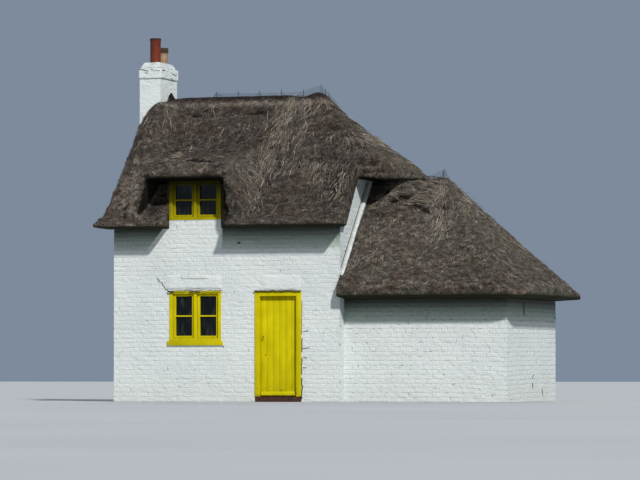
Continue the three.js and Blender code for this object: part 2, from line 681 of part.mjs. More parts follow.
// The coat is laid slope by slope: these plans part it along the ridge and the two hips,
// which end `half` from the ridge's line at cornerX; past that the hip is endHalf wide
function slopePlans({ hipX, ridgeY, cornerX, half, endHalf, endX }) {
  const high = HIP_START_HEIGHT + FAR;
  const region = (points) => toSolid(planPrism(outline(points), 0, high));
  const past = endHalf > half ? [[cornerX, endHalf]] : [];
  const edge = [[cornerX, half], ...past, [endX, endHalf]];
  const front = region([
    [-FAR, -FAR], [endX, -FAR], ...edge.toReversed().map(([x, y]) => [x, ridgeY - y - GAP]),
    [hipX, ridgeY - GAP], [-FAR, ridgeY - GAP],
  ]);
  const back = region([
    [-FAR, ridgeY], [hipX, ridgeY], ...edge.map(([x, y]) => [x, ridgeY + y + GAP]),
    [endX, HOUSE_DEPTH + FAR], [-FAR, HOUSE_DEPTH + FAR],
  ]);
  const hip = region([
    [hipX + GAP, ridgeY], ...edge.map(([x, y]) => [x, ridgeY - y]),
    ...edge.toReversed().map(([x, y]) => [x, ridgeY + y]),
  ]);
  return { front, back, hip };
}

const wingCoat = wingThatch();
const houseCoatWhole = without(houseThatch(), moved(wingCoat, GAP));

const vergeHipY = (hipSlope(RIGHT_VERGE) - HOUSE_WALL_TOP - HOUSE_COAT_RISE) / HOUSE_PITCH;
const housePlans = slopePlans({
  hipX: HIP_START,
  ridgeY: HOUSE_RIDGE_Y,
  cornerX: RIGHT_VERGE,
  half: HOUSE_RIDGE_Y - vergeHipY,
  endHalf: NOSE.halfWidth,
  endX: NOSE.tip + FAR,
});
const wingCorner = WING_RIDGE_Y - WING_SETBACK + WING_OVERHANG;
const wingPlans = slopePlans({
  hipX: WING_HIP_START,
  ridgeY: WING_RIDGE_Y,
  cornerX: WING_HIP_START + wingCorner,
  half: wingCorner,
  endHalf: wingCorner,
  endX: WING_END + FAR,
});
for (const [side, plan] of Object.entries(housePlans)) {
  addPiece(`house_thatch_${side}`, toGeometry(houseCoatWhole.intersect(plan)), 'thatch');
}
for (const [side, plan] of Object.entries(wingPlans)) {
  addPiece(`wing_thatch_${side}`, toGeometry(wingCoat.intersect(plan)), 'thatch');
}

// Walls

const lowerHole = rectangle(
  LOWER_WINDOW.x0, LOWER_WINDOW.x1, LOWER_WINDOW.z0 - SILL_HEIGHT, LOWER_WINDOW.z1,
);
const lintelBottom = DOOR.z1;
const lintelTop = DOOR.z1 + LINTEL_HEIGHT;

// The wall rises to the upper window's frame, in the gap in the eaves
const raisedWall = [
  [UPPER_WINDOW.x1, HOUSE_WALL_TOP], [UPPER_WINDOW.x1, UPPER_WINDOW.z0],
  [UPPER_WINDOW.x0, UPPER_WINDOW.z0], [UPPER_WINDOW.x0, HOUSE_WALL_TOP],
];

addPiece('front_wall_left', frontPrism(outline([
  [0, 0], [DOOR.x0, 0], [DOOR.x0, lintelBottom], [DOOR.x0 - LINTEL_BEARING, lintelBottom],
  [DOOR.x0 - LINTEL_BEARING, lintelTop], [DOOR.x0, lintelTop], [DOOR.x0, HOUSE_WALL_TOP],
  ...raisedWall, [0, HOUSE_WALL_TOP],
], [lowerHole]), 0, WALL), 'limewash');

addPiece('front_wall_right', frontPrism(outline([
  [DOOR.x1, 0], [HOUSE_LENGTH, 0], [HOUSE_LENGTH, HOUSE_WALL_TOP], [DOOR.x1, HOUSE_WALL_TOP],
  [DOOR.x1, lintelTop], [DOOR.x1 + LINTEL_BEARING, lintelTop],
  [DOOR.x1 + LINTEL_BEARING, lintelBottom], [DOOR.x1, lintelBottom],
]), 0, WALL), 'limewash');

addPiece(
  'front_wall_over_door',
  box(DOOR.x0, DOOR.x1, 0, WALL, lintelTop, HOUSE_WALL_TOP),
  'limewash',
);

addPiece(
  'door_lintel',
  box(DOOR.x0 - LINTEL_BEARING, DOOR.x1 + LINTEL_BEARING, 0, WALL, lintelBottom, lintelTop),
  'render',
);

addPiece('back_wall', frontPrism(outline([
  [0, 0], [HOUSE_LENGTH, 0], [HOUSE_LENGTH, HOUSE_WALL_TOP], ...raisedWall, [0, HOUSE_WALL_TOP],
], [lowerHole]), HOUSE_DEPTH - WALL, HOUSE_DEPTH), 'limewash');

// A gable wall's stretch from y0 to y1 and from `low` up, its head cut to the thatch
function gableWall(name, x0, y0, y1, low) {
  const stretch = toSolid(box(x0, x0 + WALL, y0, y1, low, HIP_START_HEIGHT));
  const head = toSolid(sidePrism(underSlopes(0, 0, GABLE_HEAD_TRIM), x0, x0 + WALL));
  const trimmed = stretch.intersect(head).intersect(underHip(GABLE_HEAD_TRIM));
  addPiece(name, toGeometry(without(trimmed, moved(houseCoatWhole, -GAP))), 'limewash');
}

const innerFront = WALL;
const innerBack = HOUSE_DEPTH - WALL;
const rightGableX = HOUSE_LENGTH - WALL;
gableWall('left_gable_front', 0, innerFront, STACK.y0 - GAP, 0);
gableWall('left_gable_back', 0, STACK.y1 + GAP, innerBack, 0);
gableWall('right_gable_over_doorway', rightGableX, innerFront, innerBack, DOORWAY.top);
addPiece(
  'right_gable_front',
  box(rightGableX, HOUSE_LENGTH, innerFront, DOORWAY.y0, 0, DOORWAY.top),
  'limewash',
);
addPiece(
  'right_gable_back',
  box(rightGableX, HOUSE_LENGTH, DOORWAY.y1, innerBack, 0, DOORWAY.top),
  'limewash',
);

addPiece(
  'wing_front_wall',
  box(HOUSE_LENGTH, WING_END, WING_SETBACK, WING_SETBACK + WALL, 0, WING_WALL_TOP),
  'limewash',
);
addPiece(
  'wing_end_wall',
  box(WING_END - WALL, WING_END, WING_SETBACK + WALL, innerBack, 0, WING_WALL_TOP),
  'limewash',
);
addPiece(
  'wing_back_wall',
  box(HOUSE_LENGTH, WING_END, innerBack, HOUSE_DEPTH, 0, WING_WALL_TOP),
  'limewash',
);

// Floors

addPiece('ground_floor', planPrism(outline([
  [WALL, innerFront], [rightGableX, innerFront], [rightGableX, DOORWAY.y0],
  [HOUSE_LENGTH, DOORWAY.y0], [HOUSE_LENGTH, DOORWAY.y1], [rightGableX, DOORWAY.y1],
  [rightGableX, innerBack], [WALL, innerBack], [WALL, STACK.y1 + GAP],
  [STACK.x1 + GAP, STACK.y1 + GAP], [STACK.x1 + GAP, STACK.y0 - GAP], [WALL, STACK.y0 - GAP],
]), 0, FLOOR_TOP), 'tiles');

addPiece(
  'wing_floor',
  box(HOUSE_LENGTH, WING_END - WALL, WING_SETBACK + WALL, innerBack, 0, FLOOR_TOP),
  'tiles',
);

// Boards on joists that span from front to back, drawn as one comb
function upperFloor() {
  const x0 = WALL + GAP;
  const x1 = rightGableX - GAP;
  const low = UPPER_FLOOR_TOP - UPPER_FLOOR_BOARDS;
  const pitch = (x1 - x0 - JOIST.width) / (JOIST.count - 1);
  const points = [[x1, UPPER_FLOOR_TOP], [x0, UPPER_FLOOR_TOP]];
  for (let i = 0; i < JOIST.count; i += 1) {
    const left = x0 + i * pitch;
    points.push(
      [left, low], [left, low - JOIST.height],
      [left + JOIST.width, low - JOIST.height], [left + JOIST.width, low],
    );
  }
  const distinct = points.filter(([x, z], i) => (
    i === 0 || x !== points[i - 1][0] || z !== points[i - 1][1]
  ));
  distinct.pop();
  const comb = toSolid(frontPrism(outline(distinct), innerFront + GAP, innerBack - GAP));
  const stack = box(
    -1, STACK.x1 + GAP, STACK.y0 - GAP, STACK.y1 + GAP, 0, STACK.top,
  );
  const well = box(STAIRWELL.x0, STAIRWELL.x1, STAIRWELL.y0, STAIRWELL.y1, 0, STACK.top);
  return toGeometry(without(comb, toSolid(stack), toSolid(well)));
}
addPiece('upper_floor', upperFloor(), 'boards');

// Chimney

addPiece(
  'chimney_stack', box(STACK.x0, STACK.x1, STACK.y0, STACK.y1, 0, STACK.top), 'brick',
);
const bandTop = STACK.top + BAND_HEIGHT;
addPiece('chimney_band', box(
  STACK.x0 - BAND_PROUD, STACK.x1 + BAND_PROUD, STACK.y0 - BAND_PROUD, STACK.y1 + BAND_PROUD,
  STACK.top, bandTop,
), 'brick');

function chimneyHaunching() {
  const bed = box(STACK.x0, STACK.x1, STACK.y0, STACK.y1, bandTop, bandTop + HAUNCH.height);
  const position = bed.attributes.position;
  const middleX = (STACK.x0 + STACK.x1) / 2;
  const middleY = (STACK.y0 + STACK.y1) / 2;
  for (let i = 0; i < position.count; i += 1) {
    if (position.getZ(i) > bandTop + 1) {
      position.setX(i, middleX + (position.getX(i) - middleX) * HAUNCH.topWidth);
      position.setY(i, middleY + (position.getY(i) - middleY) * HAUNCH.topLength);
    }
  }
  const sockets = [RED_POT, BUFF_POT].map(({ x, y }) => {
    const radius = POT.radius + GAP;
    const socket = new THREE.CylinderGeometry(radius, radius, 4 * HAUNCH.height, POT.sides);
    return toSolid(socket.rotateX(Math.PI / 2).translate(x, y, bandTop));
  });
  return toGeometry(without(toSolid(bed), ...sockets));
}
addPiece('chimney_haunching', chimneyHaunching(), 'mortar');

function chimneyPot({ x, y, top }) {
  const { radius, wall, collar, collarSlope, neck, waist, lip, lipSlope } = POT;
  const profile = [
    [radius - wall, bandTop], [radius, bandTop], [radius, bandTop + collar],
    [radius - neck, bandTop + collar + collarSlope], [radius - waist, top - lip - lipSlope],
    [radius, top - lip], [radius, top], [radius - wall, top], [radius - wall, bandTop],
  ];
  const pot = new THREE.LatheGeometry(
    profile.map(([across, up]) => new THREE.Vector2(across, up)), POT.sides,
  );
  return pot.rotateX(Math.PI / 2).translate(x, y, 0);
}
addPiece('chimney_pot_red', chimneyPot(RED_POT), 'redClay');
addPiece('chimney_pot_buff', chimneyPot(BUFF_POT), 'buffClay');

// Windows: a frame with a mullion, two casements with a glazing bar each, and a sheet of
// glass behind them; `finish` places the front window's geometry, or its mirror image

function windowPieces(name, frame, hasSill, finish) {
  const { x0, x1, z0, z1 } = frame;
  const front = FRAME_SETBACK;
  const back = FRAME_SETBACK + FRAME_DEPTH;
  const middle = (x0 + x1) / 2;
  const inner = {
    x0: x0 + FRAME_STILE, x1: x1 - FRAME_STILE, z0: z0 + FRAME_RAIL, z1: z1 - FRAME_RAIL,
  };
  const casementFront = front + CASEMENT_SETBACK;
  const casementBack = casementFront + CASEMENT_DEPTH;
  const ring = frontPrism(
    outline(rectangle(x0, x1, z0, z1), [rectangle(inner.x0, inner.x1, inner.z0, inner.z1)]),
    front, back,
  );
  const mullion = box(
    middle - MULLION / 2, middle + MULLION / 2, front, casementBack, inner.z0 - 1, inner.z1 + 1,
  );
  const parts = [toSolid(ring), toSolid(mullion)];
  if (hasSill) {
    parts.push(toSolid(box(x0, x1, -1, back, z0 - SILL_HEIGHT, z0 + 1)));
    parts.push(toSolid(box(
      x0 - SILL_HORN, x1 + SILL_HORN, -SILL_PROUD, 0, z0 - SILL_HEIGHT, z0,
    )));
  }
  addPiece(`${name}_frame`, finish(toGeometry(joined(...parts))), 'yellowPaint');

  const lights = {
    left: [inner.x0 + GAP, middle - MULLION / 2 - GAP],
    right: [middle + MULLION / 2 + GAP, inner.x1 - GAP],
  };
  const low = inner.z0 + GAP;
  const high = inner.z1 - GAP;
  const barMiddle = (low + high) / 2;
  for (const [side, [a, b]] of Object.entries(lights)) {
    const panes = [
      rectangle(a + CASEMENT_STILE, b - CASEMENT_STILE, low + CASEMENT_STILE,
        barMiddle - GLAZING_BAR / 2),
      rectangle(a + CASEMENT_STILE, b - CASEMENT_STILE, barMiddle + GLAZING_BAR / 2,
        high - CASEMENT_STILE),
    ];
    const casement = frontPrism(
      outline(rectangle(a, b, low, high), panes), casementFront, casementBack,
    );
    addPiece(`${name}_casement_${side}`, finish(casement), 'yellowPaint');
  }
  const glass = box(
    inner.x0 + GAP, inner.x1 - GAP, casementBack + GAP, casementBack + GAP + GLASS, low, high,
  );
  addPiece(`${name}_glass`, finish(glass), 'glass');
}

const asDrawn = (geometry) => geometry;
windowPieces('front_lower_window', LOWER_WINDOW, true, asDrawn);
windowPieces('front_upper_window', UPPER_WINDOW, false, asDrawn);
windowPieces('back_lower_window', LOWER_WINDOW, true, mirrored);
windowPieces('back_upper_window', UPPER_WINDOW, false, mirrored);

// Front door

const jambInner = { x0: DOOR.x0 + DOOR_JAMB, x1: DOOR.x1 - DOOR_JAMB };
const headUnder = DOOR.z1 - DOOR_JAMB;

function doorFrame() {
  const front = DOOR_FRAME_SETBACK;
  const back = front + DOOR_FRAME_DEPTH;
  const stopBack = DOOR_LEAF_FRONT - DOOR_CLEARANCE;
  const arch = (jamb) => outline([
    [DOOR.x0, FLOOR_TOP], [DOOR.x0 + jamb, FLOOR_TOP], [DOOR.x0 + jamb, DOOR.z1 - jamb],
    [DOOR.x1 - jamb, DOOR.z1 - jamb], [DOOR.x1 - jamb, FLOOR_TOP], [DOOR.x1, FLOOR_TOP],
    [DOOR.x1, DOOR.z1], [DOOR.x0, DOOR.z1],
  ]);
  return toGeometry(joined(
    toSolid(frontPrism(arch(DOOR_JAMB), front, back)),
    toSolid(frontPrism(arch(DOOR_JAMB + DOOR_STOP), front, stopBack)),
  ));
}
addPiece('door_frame', doorFrame(), 'yellowPaint');
addPiece('door_threshold', box(DOOR.x0, DOOR.x1, 0, WALL, 0, FLOOR_TOP), 'render');

// The leaf: upright boards with grooves between them, seen on the plan, and two ledges
const leaf = {
  x0: jambInner.x0 + DOOR_CLEARANCE,
  x1: jambInner.x1 - DOOR_CLEARANCE,
  z0: FLOOR_TOP + DOOR_CLEARANCE,
  z1: headUnder - DOOR_CLEARANCE,
};
const leafBack = DOOR_LEAF_FRONT + DOOR_BOARD_THICKNESS;

function doorLeaf() {
  const boardWidth = (leaf.x1 - leaf.x0) / DOOR_BOARDS;
  const points = [[leaf.x1, leafBack], [leaf.x0, leafBack], [leaf.x0, DOOR_LEAF_FRONT]];
  for (let i = 1; i < DOOR_BOARDS; i += 1) {
    const x = leaf.x0 + i * boardWidth;
    points.push(
      [x - DOOR_BOARD_GROOVE, DOOR_LEAF_FRONT], [x, DOOR_LEAF_FRONT + DOOR_BOARD_GROOVE],
      [x + DOOR_BOARD_GROOVE, DOOR_LEAF_FRONT],
    );
  }
  points.push([leaf.x1, DOOR_LEAF_FRONT]);
  return planPrism(outline(points), leaf.z0, leaf.z1);
}
addPiece('door_leaf', doorLeaf(), 'yellowPaint');

const ledgeBack = leafBack + DOOR_LEDGE_THICKNESS;
for (const [place, z] of Object.entries(DOOR_LEDGES)) {
  addPiece(`door_ledge_${place}`, box(
    leaf.x0 + DOOR_LEDGE_END, leaf.x1 - DOOR_LEDGE_END, leafBack, ledgeBack,
    z, z + DOOR_LEDGE_HEIGHT,
  ), 'yellowPaint');
}

function weatherboard() {
  const { reach, height, nose, top, lift } = WEATHERBOARD;
  const sideClearance = DOOR_STOP + DOOR_CLEARANCE + 1;
  const z = leaf.z0 + lift;
  const face = DOOR_LEAF_FRONT;
  return sidePrism(outline([
    [face - reach, z], [face, z], [face, z + height], [face - top, z + height],
    [face - reach, z + nose],
  ]), jambInner.x0 + sideClearance, jambInner.x1 - sideClearance);
}
addPiece('door_weatherboard', weatherboard(), 'yellowPaint');

function doorLatch() {
  const x = leaf.x0 + LATCH.fromEdge;
  const plateFront = DOOR_LEAF_FRONT - LATCH.plate;
  const plate = box(
    x - LATCH.plateHalf, x + LATCH.plateHalf, plateFront, DOOR_LEAF_FRONT,
    LATCH.plateLow, LATCH.plateHigh,
  );
  const thumb = box(
    x - LATCH.thumbHalf, x + LATCH.thumbHalf, DOOR_LEAF_FRONT - LATCH.thumbReach,
    plateFront + 1, LATCH.thumbLow, LATCH.thumbHigh,
  );
  return toGeometry(joined(toSolid(plate), toSolid(thumb)));
}
addPiece('door_latch', doorLatch(), 'iron');

// The door hangs on two pins behind the right jamb and opens into the house
const frameBack = DOOR_FRAME_SETBACK + DOOR_FRAME_DEPTH;
const hingeX = jambInner.x1 - HINGE.inside;
const hingeY = frameBack + HINGE.behind;

function pinCylinder(radius, z0, z1) {
  const cylinder = new THREE.CylinderGeometry(radius, radius, z1 - z0, 16);
  return toSolid(cylinder.rotateX(Math.PI / 2).translate(hingeX, hingeY, (z0 + z1) / 2));
}

function hingeStrap(z) {
  const low = z - HINGE.half + GAP;
  const high = z + HINGE.half;
  const lugLeft = hingeX - HINGE.lug;
  const strap = box(
    hingeX - HINGE.strap, lugLeft + HINGE.iron, ledgeBack, ledgeBack + HINGE.iron,
    z - HINGE.strapHalf, z + HINGE.strapHalf,
  );
  const lug = box(lugLeft, hingeX - HINGE.pinRadius, ledgeBack, hingeY, low, high);
  const solid = joined(pinCylinder(HINGE.barrel, low, high), toSolid(strap), toSolid(lug));
  return toGeometry(without(solid, pinCylinder(HINGE.bore, low - 1, high + 1)));
}

function hingePin(z) {
  const shoulder = z - HINGE.half;
  const foot = shoulder - HINGE.foot;
  const plate = box(
    hingeX + HINGE.plateNear, hingeX + HINGE.plateFar, frameBack, frameBack + HINGE.iron,
    foot, z + HINGE.half + HINGE.foot,
  );
  const arm = box(
    hingeX - HINGE.barrel, hingeX + HINGE.plateNear + HINGE.iron,
    frameBack, hingeY + HINGE.barrel, foot, shoulder,
  );
  const pin = pinCylinder(HINGE.pinRadius, shoulder - 1, z + HINGE.half - HINGE.iron);
  return toGeometry(joined(toSolid(plate), toSolid(arm), pin));
}

for (const [place, z] of Object.entries(DOOR_LEDGES)) {
  const hingeHeight = z + DOOR_LEDGE_HEIGHT / 2;
  addPiece(`door_hinge_${place}`, hingeStrap(hingeHeight), 'iron');
  addPiece(`door_hinge_pin_${place}`, hingePin(hingeHeight), 'iron');
}

// Trim

// Wire netting whose lap stands up on the ridge and follows the hip a little way down; its
// foot is cut to the coat
function ridgeNetting(heights, ridgeY, surface, coat) {
  const [first, last] = [heights[0][0], heights.at(-1)[0]];
  const steps = Math.ceil((last - first) / NETTING.step);
  const foot = even(first, last, steps).map((x) => [x, surface(x, ridgeY) - NETTING.sunk]);
  const head = heights.map(([x, height]) => [x, surface(x, ridgeY) + height]);
  const half = NETTING.thickness / 2;
  const sheet = frontPrism(outline([...foot, ...head.reverse()]), ridgeY - half, ridgeY + half);
  return toGeometry(without(toSolid(sheet), moved(coat, GAP)));
}
addPiece('house_ridge_netting', ridgeNetting(
  HOUSE_NETTING, HOUSE_RIDGE_Y, houseTop, houseCoatWhole,
), 'wire');
addPiece('wing_ridge_netting', ridgeNetting(
  WING_NETTING, WING_RIDGE_Y, wingTop, wingCoat,
), 'wire');

// Cement fillets that seal the wing's thatch to the gable wall, one on each slope
function cementFillet() {
  return sidePrism(outline([
    [0, wingSlope(0) - FILLET.root], [WING_RIDGE_Y, wingSlope(WING_RIDGE_Y) - FILLET.root],
    [WING_RIDGE_Y, wingSlope(WING_RIDGE_Y) + FILLET.high], [0, wingSlope(0) + FILLET.low],
  ]), HOUSE_LENGTH + GAP, HOUSE_LENGTH + GAP + FILLET.width);
}
const roundTheFillets = [moved(wingCoat, GAP), moved(houseCoatWhole, -GAP)];
const frontFillet = without(toSolid(cementFillet()), ...roundTheFillets);
addPiece('wing_fillet_front', toGeometry(frontFillet), 'render');
const backFillet = without(
  toSolid(mirrored(cementFillet()).translate(0, WING_SETBACK, 0)),
  ...roundTheFillets,
  toSolid(box(HOUSE_LENGTH, WING_END, HOUSE_DEPTH, HOUSE_DEPTH + FAR, 0, HIP_START_HEIGHT)),
);
addPiece('wing_fillet_back', toGeometry(backFillet), 'render');

// The finished group's origin lies in the middle of the footprint, on the ground
const footprint = new THREE.Box3().setFromObject(house);
const middle = footprint.getCenter(new THREE.Vector3());
house.position.set(-middle.x, -middle.y, -footprint.min.z);

export default cottage;
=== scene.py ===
"""The looks of a thatched cottage, built round its fixed frame.

Sizes are in metres. The front faces -Y, +X runs from the chimney end to the wing, Z is up.
"""
import json
import math
import random

import bpy
import numpy as np
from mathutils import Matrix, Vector


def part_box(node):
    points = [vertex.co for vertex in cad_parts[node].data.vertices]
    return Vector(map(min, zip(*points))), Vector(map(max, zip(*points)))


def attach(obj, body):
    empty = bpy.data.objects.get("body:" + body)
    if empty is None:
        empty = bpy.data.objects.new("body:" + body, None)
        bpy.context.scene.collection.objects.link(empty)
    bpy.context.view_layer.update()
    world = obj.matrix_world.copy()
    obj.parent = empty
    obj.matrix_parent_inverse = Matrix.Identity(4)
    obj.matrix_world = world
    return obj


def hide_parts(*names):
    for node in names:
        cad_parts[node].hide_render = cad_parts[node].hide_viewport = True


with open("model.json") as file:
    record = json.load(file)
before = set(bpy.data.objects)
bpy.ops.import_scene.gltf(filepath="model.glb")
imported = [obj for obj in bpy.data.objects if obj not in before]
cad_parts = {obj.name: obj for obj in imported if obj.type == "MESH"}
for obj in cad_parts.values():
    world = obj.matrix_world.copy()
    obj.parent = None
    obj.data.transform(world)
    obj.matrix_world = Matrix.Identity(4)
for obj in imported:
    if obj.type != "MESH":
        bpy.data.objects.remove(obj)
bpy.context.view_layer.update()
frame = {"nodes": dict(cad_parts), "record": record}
NODES = frame["nodes"]

# Camera and light: azimuth 0 is in front of the house, 90 at its right
CAMERA_PLACE = (25.034, -71.852, 0.47)
CAMERA_TURN = math.radians(19.5)
CAMERA_TILT = math.radians(1.988)
CAMERA_LENS = 222.0
KEY_LIGHT = {"azimuth": 41, "elevation": 39.5, "strength": 3.5, "spread": 3.5}
FILL_LIGHT = {"azimuth": 200, "elevation": 35, "strength": 0.6, "spread": 30}
BACKDROP = (0.205, 0.258, 0.335)

# Thatch; a relief is a list of the size of its lumps and their depth
COAT_VOXEL = 0.034
COAT_RELIEF = [(0.75, 0.036), (0.24, 0.034), (0.085, 0.04)]
STRAW = {"radius": 0.0031, "length": 0.066}
LONG_STRAW = {"radius": 0.0038, "length": 0.21}
STRAW_BEND = 0.06  # how far a long straw's tip bends, as a share of its length
STRAW_TIP = 0.45  # and how wide that tip is, as a share of its foot
STRAW_LIE = {"lift": (0.02, 0.16), "swing": 0.7}  # off the slope and sideways, in radians
LONG_STRAW_LIE = {"lift": (0.02, 0.09), "swing": 0.5}
STRAW_SCALES = (0.55, 1.25)
STRAWS_PER_AREA = {"front": 2350, "back": 1300}
STRAYS_PER_AREA = 2400
THINNED = 1.0
BARE_EDGE, EDGE_FADE = 0.08, 0.04  # no straws this near to the eaves, which are cut clean
STRAY_EDGE, STRAY_FADE = 0.34, 0.06  # no long ones this near; both thicken over their fade
# Faces get a dark green painted shade where their normal rises less than this, and grow straws where it
# rises more
SHADED_BELOW, SHADED_OVER = 0.05, 0.4
GROWING_ABOVE, GROWING_OVER = 0.12, 0.25
PARTED_ABOVE = 0.1  # only faces that rise more than this are parted
WING_LIP, LIP_DEPTH = 0.07, 0.3  # how far the wing's eaves have spread, and from how far in
PARTING_DEPTH = 0.045
PARTING_FADE = 1.6  # a parting has faded out at this many times its half width
SEEN_SLOPE, LEAST_SEEN = 0.76, 0.12  # how much of the front slope's run shows from the front
RIDGE_RELIEF = 0.12  # the share of the coat's relief that is left at the ridge
FULL_RELIEF = 0.45  # how far below the ridge it is whole

# The eaves that the straws stop short of: the lowest and highest X and Y of each roof
EAVES = {"house": ((-9.0, 9.0), (-2.25, 2.25)), "wing": ((-9.0, 4.225), (-1.92, 2.17))}
RIDGES = {"house": 5.9, "wing": 4.2}  # the height of each roof's ridge
STRAIGHT_RIDGE, RIDGE_TOP = (-3.2, -1.0), 5.935  # where the ridge is level, and its top
RIDGE_STEP, RIDGE_FADE = 0.06, 0.3  # how often its height is read, and where it fades out
RIDGE_HALF, RIDGE_SLOPES = 0.4, 0.7  # half the width of its crest, and of what moves with it
# Undersides above this height are painted black as shade, lower ones a dark green painted shade
HOODS_ABOVE = {"house": 3.46, "wing": 9.0}
NOSE_MEETS_WING, WING_RIDGE_LOW = 1.02, 4.1  # the X where the nose touches, above this height
# The tangled thatch under the nose: lowest and highest X and Z, and its soft edge
TANGLE, TANGLE_EDGE = ((0.72, 2.05), (3.62, 4.35)), 0.08
TANGLE_PALE, PALE_ANYWHERE = 0.16, 0.015  # the share of bleached straws there and anywhere
TANGLE_LENGTHWAYS = 0.85  # how far its straws are turned to lie lengthways
TANGLE_RISE, TANGLE_WAVES = 0.25, 9.0  # how steeply they rise and fall, and how often
NOSE_LESS_SHADED = 0.6  # how much less painted shade the nose's underside gets
# The thatch is more worn right of this X, over this far, up to this share
WORN_FROM, WORN_OVER, MOST_WORN = -0.5, 0.6, {"house": 0.3, "wing": 0.1}

# Where bleached straws lie: X, Z, half width, half height, share
PALE_PATCHES = {
    "house": [
        (-0.94, 5.7, 0.15, 0.2, 1.0), (-0.62, 5.74, 0.2, 0.1, 0.5), (-1.0, 5.42, 0.17, 0.18, 0.8),
        (-1.03, 5.14, 0.24, 0.2, 0.65), (-1.12, 4.78, 0.24, 0.22, 0.5), (-1.2, 4.4, 0.2, 0.26, 0.5),
        (-1.2, 3.95, 0.18, 0.28, 0.4), (-0.58, 5.25, 0.12, 0.34, 0.35), (-0.38, 4.5, 0.26, 0.12, 0.5),
        (0.02, 4.46, 0.2, 0.2, 0.5), (0.45, 5.05, 0.28, 0.14, 0.35), (0.5, 4.1, 0.11, 0.32, 0.35),
        (-2.84, 4.66, 0.11, 0.16, 0.7), (-2.45, 4.52, 0.3, 0.1, 0.25), (-3.5, 4.28, 0.05, 0.2, 0.9),
        (-3.54, 3.5, 0.1, 0.06, 0.3),
    ],
    "wing": [
        (2.02, 3.95, 0.15, 0.24, 1.0), (1.62, 3.86, 0.34, 0.16, 0.4), (2.28, 3.48, 0.26, 0.3, 0.5),
        (1.12, 3.9, 0.3, 0.18, 0.45), (1.0, 3.3, 0.2, 0.5, 0.1), (0.85, 2.55, 0.1, 0.35, 0.15),
    ],
}
# Where the thatch is lighter or darker: X, Z, half width, half height, shift of its tone
# Some rows are painted light and shade, such as the dark hollow beside the upper window, the lit hood
# and the dark line under the tangled thatch
SHADES = {
    "house": [
        (-1.6, 5.93, 2.1, 0.06, -0.85), (-1.6, 5.77, 2.1, 0.045, 0.45),
        (-0.94, 5.7, 0.16, 0.2, 0.35), (-1.15, 4.2, 0.25, 0.45, -0.12),
        (0.0, 4.5, 0.25, 0.25, -0.12), (0.5, 4.1, 0.2, 0.45, -0.4),
        (-1.8, 5.62, 1.6, 0.08, -0.13), (-2.0, 5.4, 1.1, 0.05, 0.07),
        (-2.1, 5.22, 1.3, 0.06, -0.06), (-3.55, 5.35, 0.3, 0.4, 0.12),
        (-3.55, 4.05, 0.4, 0.55, 0.42), (-2.35, 4.5, 0.75, 0.14, 0.2),
        (-3.08, 4.55, 0.13, 0.42, -0.14), (-1.7, 4.95, 0.6, 0.16, -0.07),
        (0.1, 4.2, 0.5, 0.7, -0.04), (-2.7, 5.0, 0.4, 0.12, -0.06),
        (0.15, 5.1, 0.45, 0.5, -0.16), (-3.18, 3.66, 0.1, 0.12, -0.7),
        (-1.6, 3.8, 0.08, 0.3, -0.3),
    ],
    "wing": [
        (2.05, 3.96, 0.13, 0.22, 0.5), (1.35, 3.95, 0.6, 0.2, 0.14),
        (1.1, 3.66, 0.75, 0.03, -0.18), (1.9, 2.95, 1.4, 0.9, 0.16),
        (2.6, 2.7, 0.7, 0.45, 0.02),
    ],
}
# Where the thatch has parted, sunk in and painted near black as shade: from X, Z to X, Z, and the half
# width
PARTINGS = {
    "house": [
        (-2.42, 4.63, -2.14, 4.6, 0.06), (-2.14, 4.6, -1.92, 4.57, 0.036),
        (-2.62, 4.6, -2.52, 4.62, 0.03), (-1.72, 4.2, -1.6, 4.29, 0.036),
        (-1.61, 3.94, -1.59, 3.78, 0.03), (-1.78, 4.44, -1.68, 4.5, 0.02),
        (-3.36, 4.45, -3.22, 4.62, 0.026), (-3.22, 4.62, -3.02, 4.86, 0.022),
        (-0.46, 4.5, -0.38, 4.48, 0.028), (-0.22, 4.46, -0.16, 4.46, 0.028),
        (-0.02, 4.43, 0.04, 4.41, 0.028), (0.14, 4.36, 0.2, 4.33, 0.028),
        (-2.9, 5.56, -2.82, 5.55, 0.024), (-1.7, 5.58, -1.5, 5.6, 0.022),
    ],
    "wing": [
        (1.38, 3.92, 1.52, 3.89, 0.036), (1.66, 3.76, 1.78, 3.72, 0.034),
        (1.86, 3.66, 1.98, 3.62, 0.034), (1.2, 3.82, 1.3, 3.84, 0.03),
        (2.22, 3.74, 2.3, 3.68, 0.03), (0.95, 3.98, 1.1, 4.02, 0.03),
    ],
}
TUFT_FOOT, TUFT_HEIGHT = (-3.5, 0.0, 5.91), 0.24  # the rough tuft at the ridge's left end
TUFT_RADII = {"radius1": 0.15, "radius2": 0.015}
TUFT_RELIEF, TUFT_LOOK = [(0.06, 0.035)], {"parted": 0.6, "shade": -0.5}

# Brickwork: a course with its joint, and how far the brick faces stand out of the joints
COURSE = 0.086
BRICK_PITCH = 0.235
JOINT = 0.007
BRICK_PROUD = 0.0015
BRICK_ROOT = 0.006
BRICK_ROUNDING, BRICK_CROWN = 0.015, 0.0028  # how a brick's face stands out of its edges
BRICK_RELIEF = [(0.5, 0.008), (0.11, 0.01), (0.035, 0.0055)]
THIN_SKIN = 0.0048  # how far the bricks of the stack and the right gable are drawn in
COURSES_IN_BOND = 4
SAME_PLANE, CUT_DEPTH = 0.0005, 0.05  # a cutter's faces this near to the wall's move out this far
WALL_FRONT = 1.75  # how far the house's front and back lie from its middle
WALL_FACE = -WALL_FRONT
WING_FACE = -1.5
SAG = 0.055  # how far the courses have sunk at the wing's front corner
SAG_REACH = {"front": 1.3, "right": 2.2}
LOWEST = 0.001  # no sunk brick goes below this
PATCH_WAVES = (31.0, 73.0)  # how often the edge of a rendered patch wanders
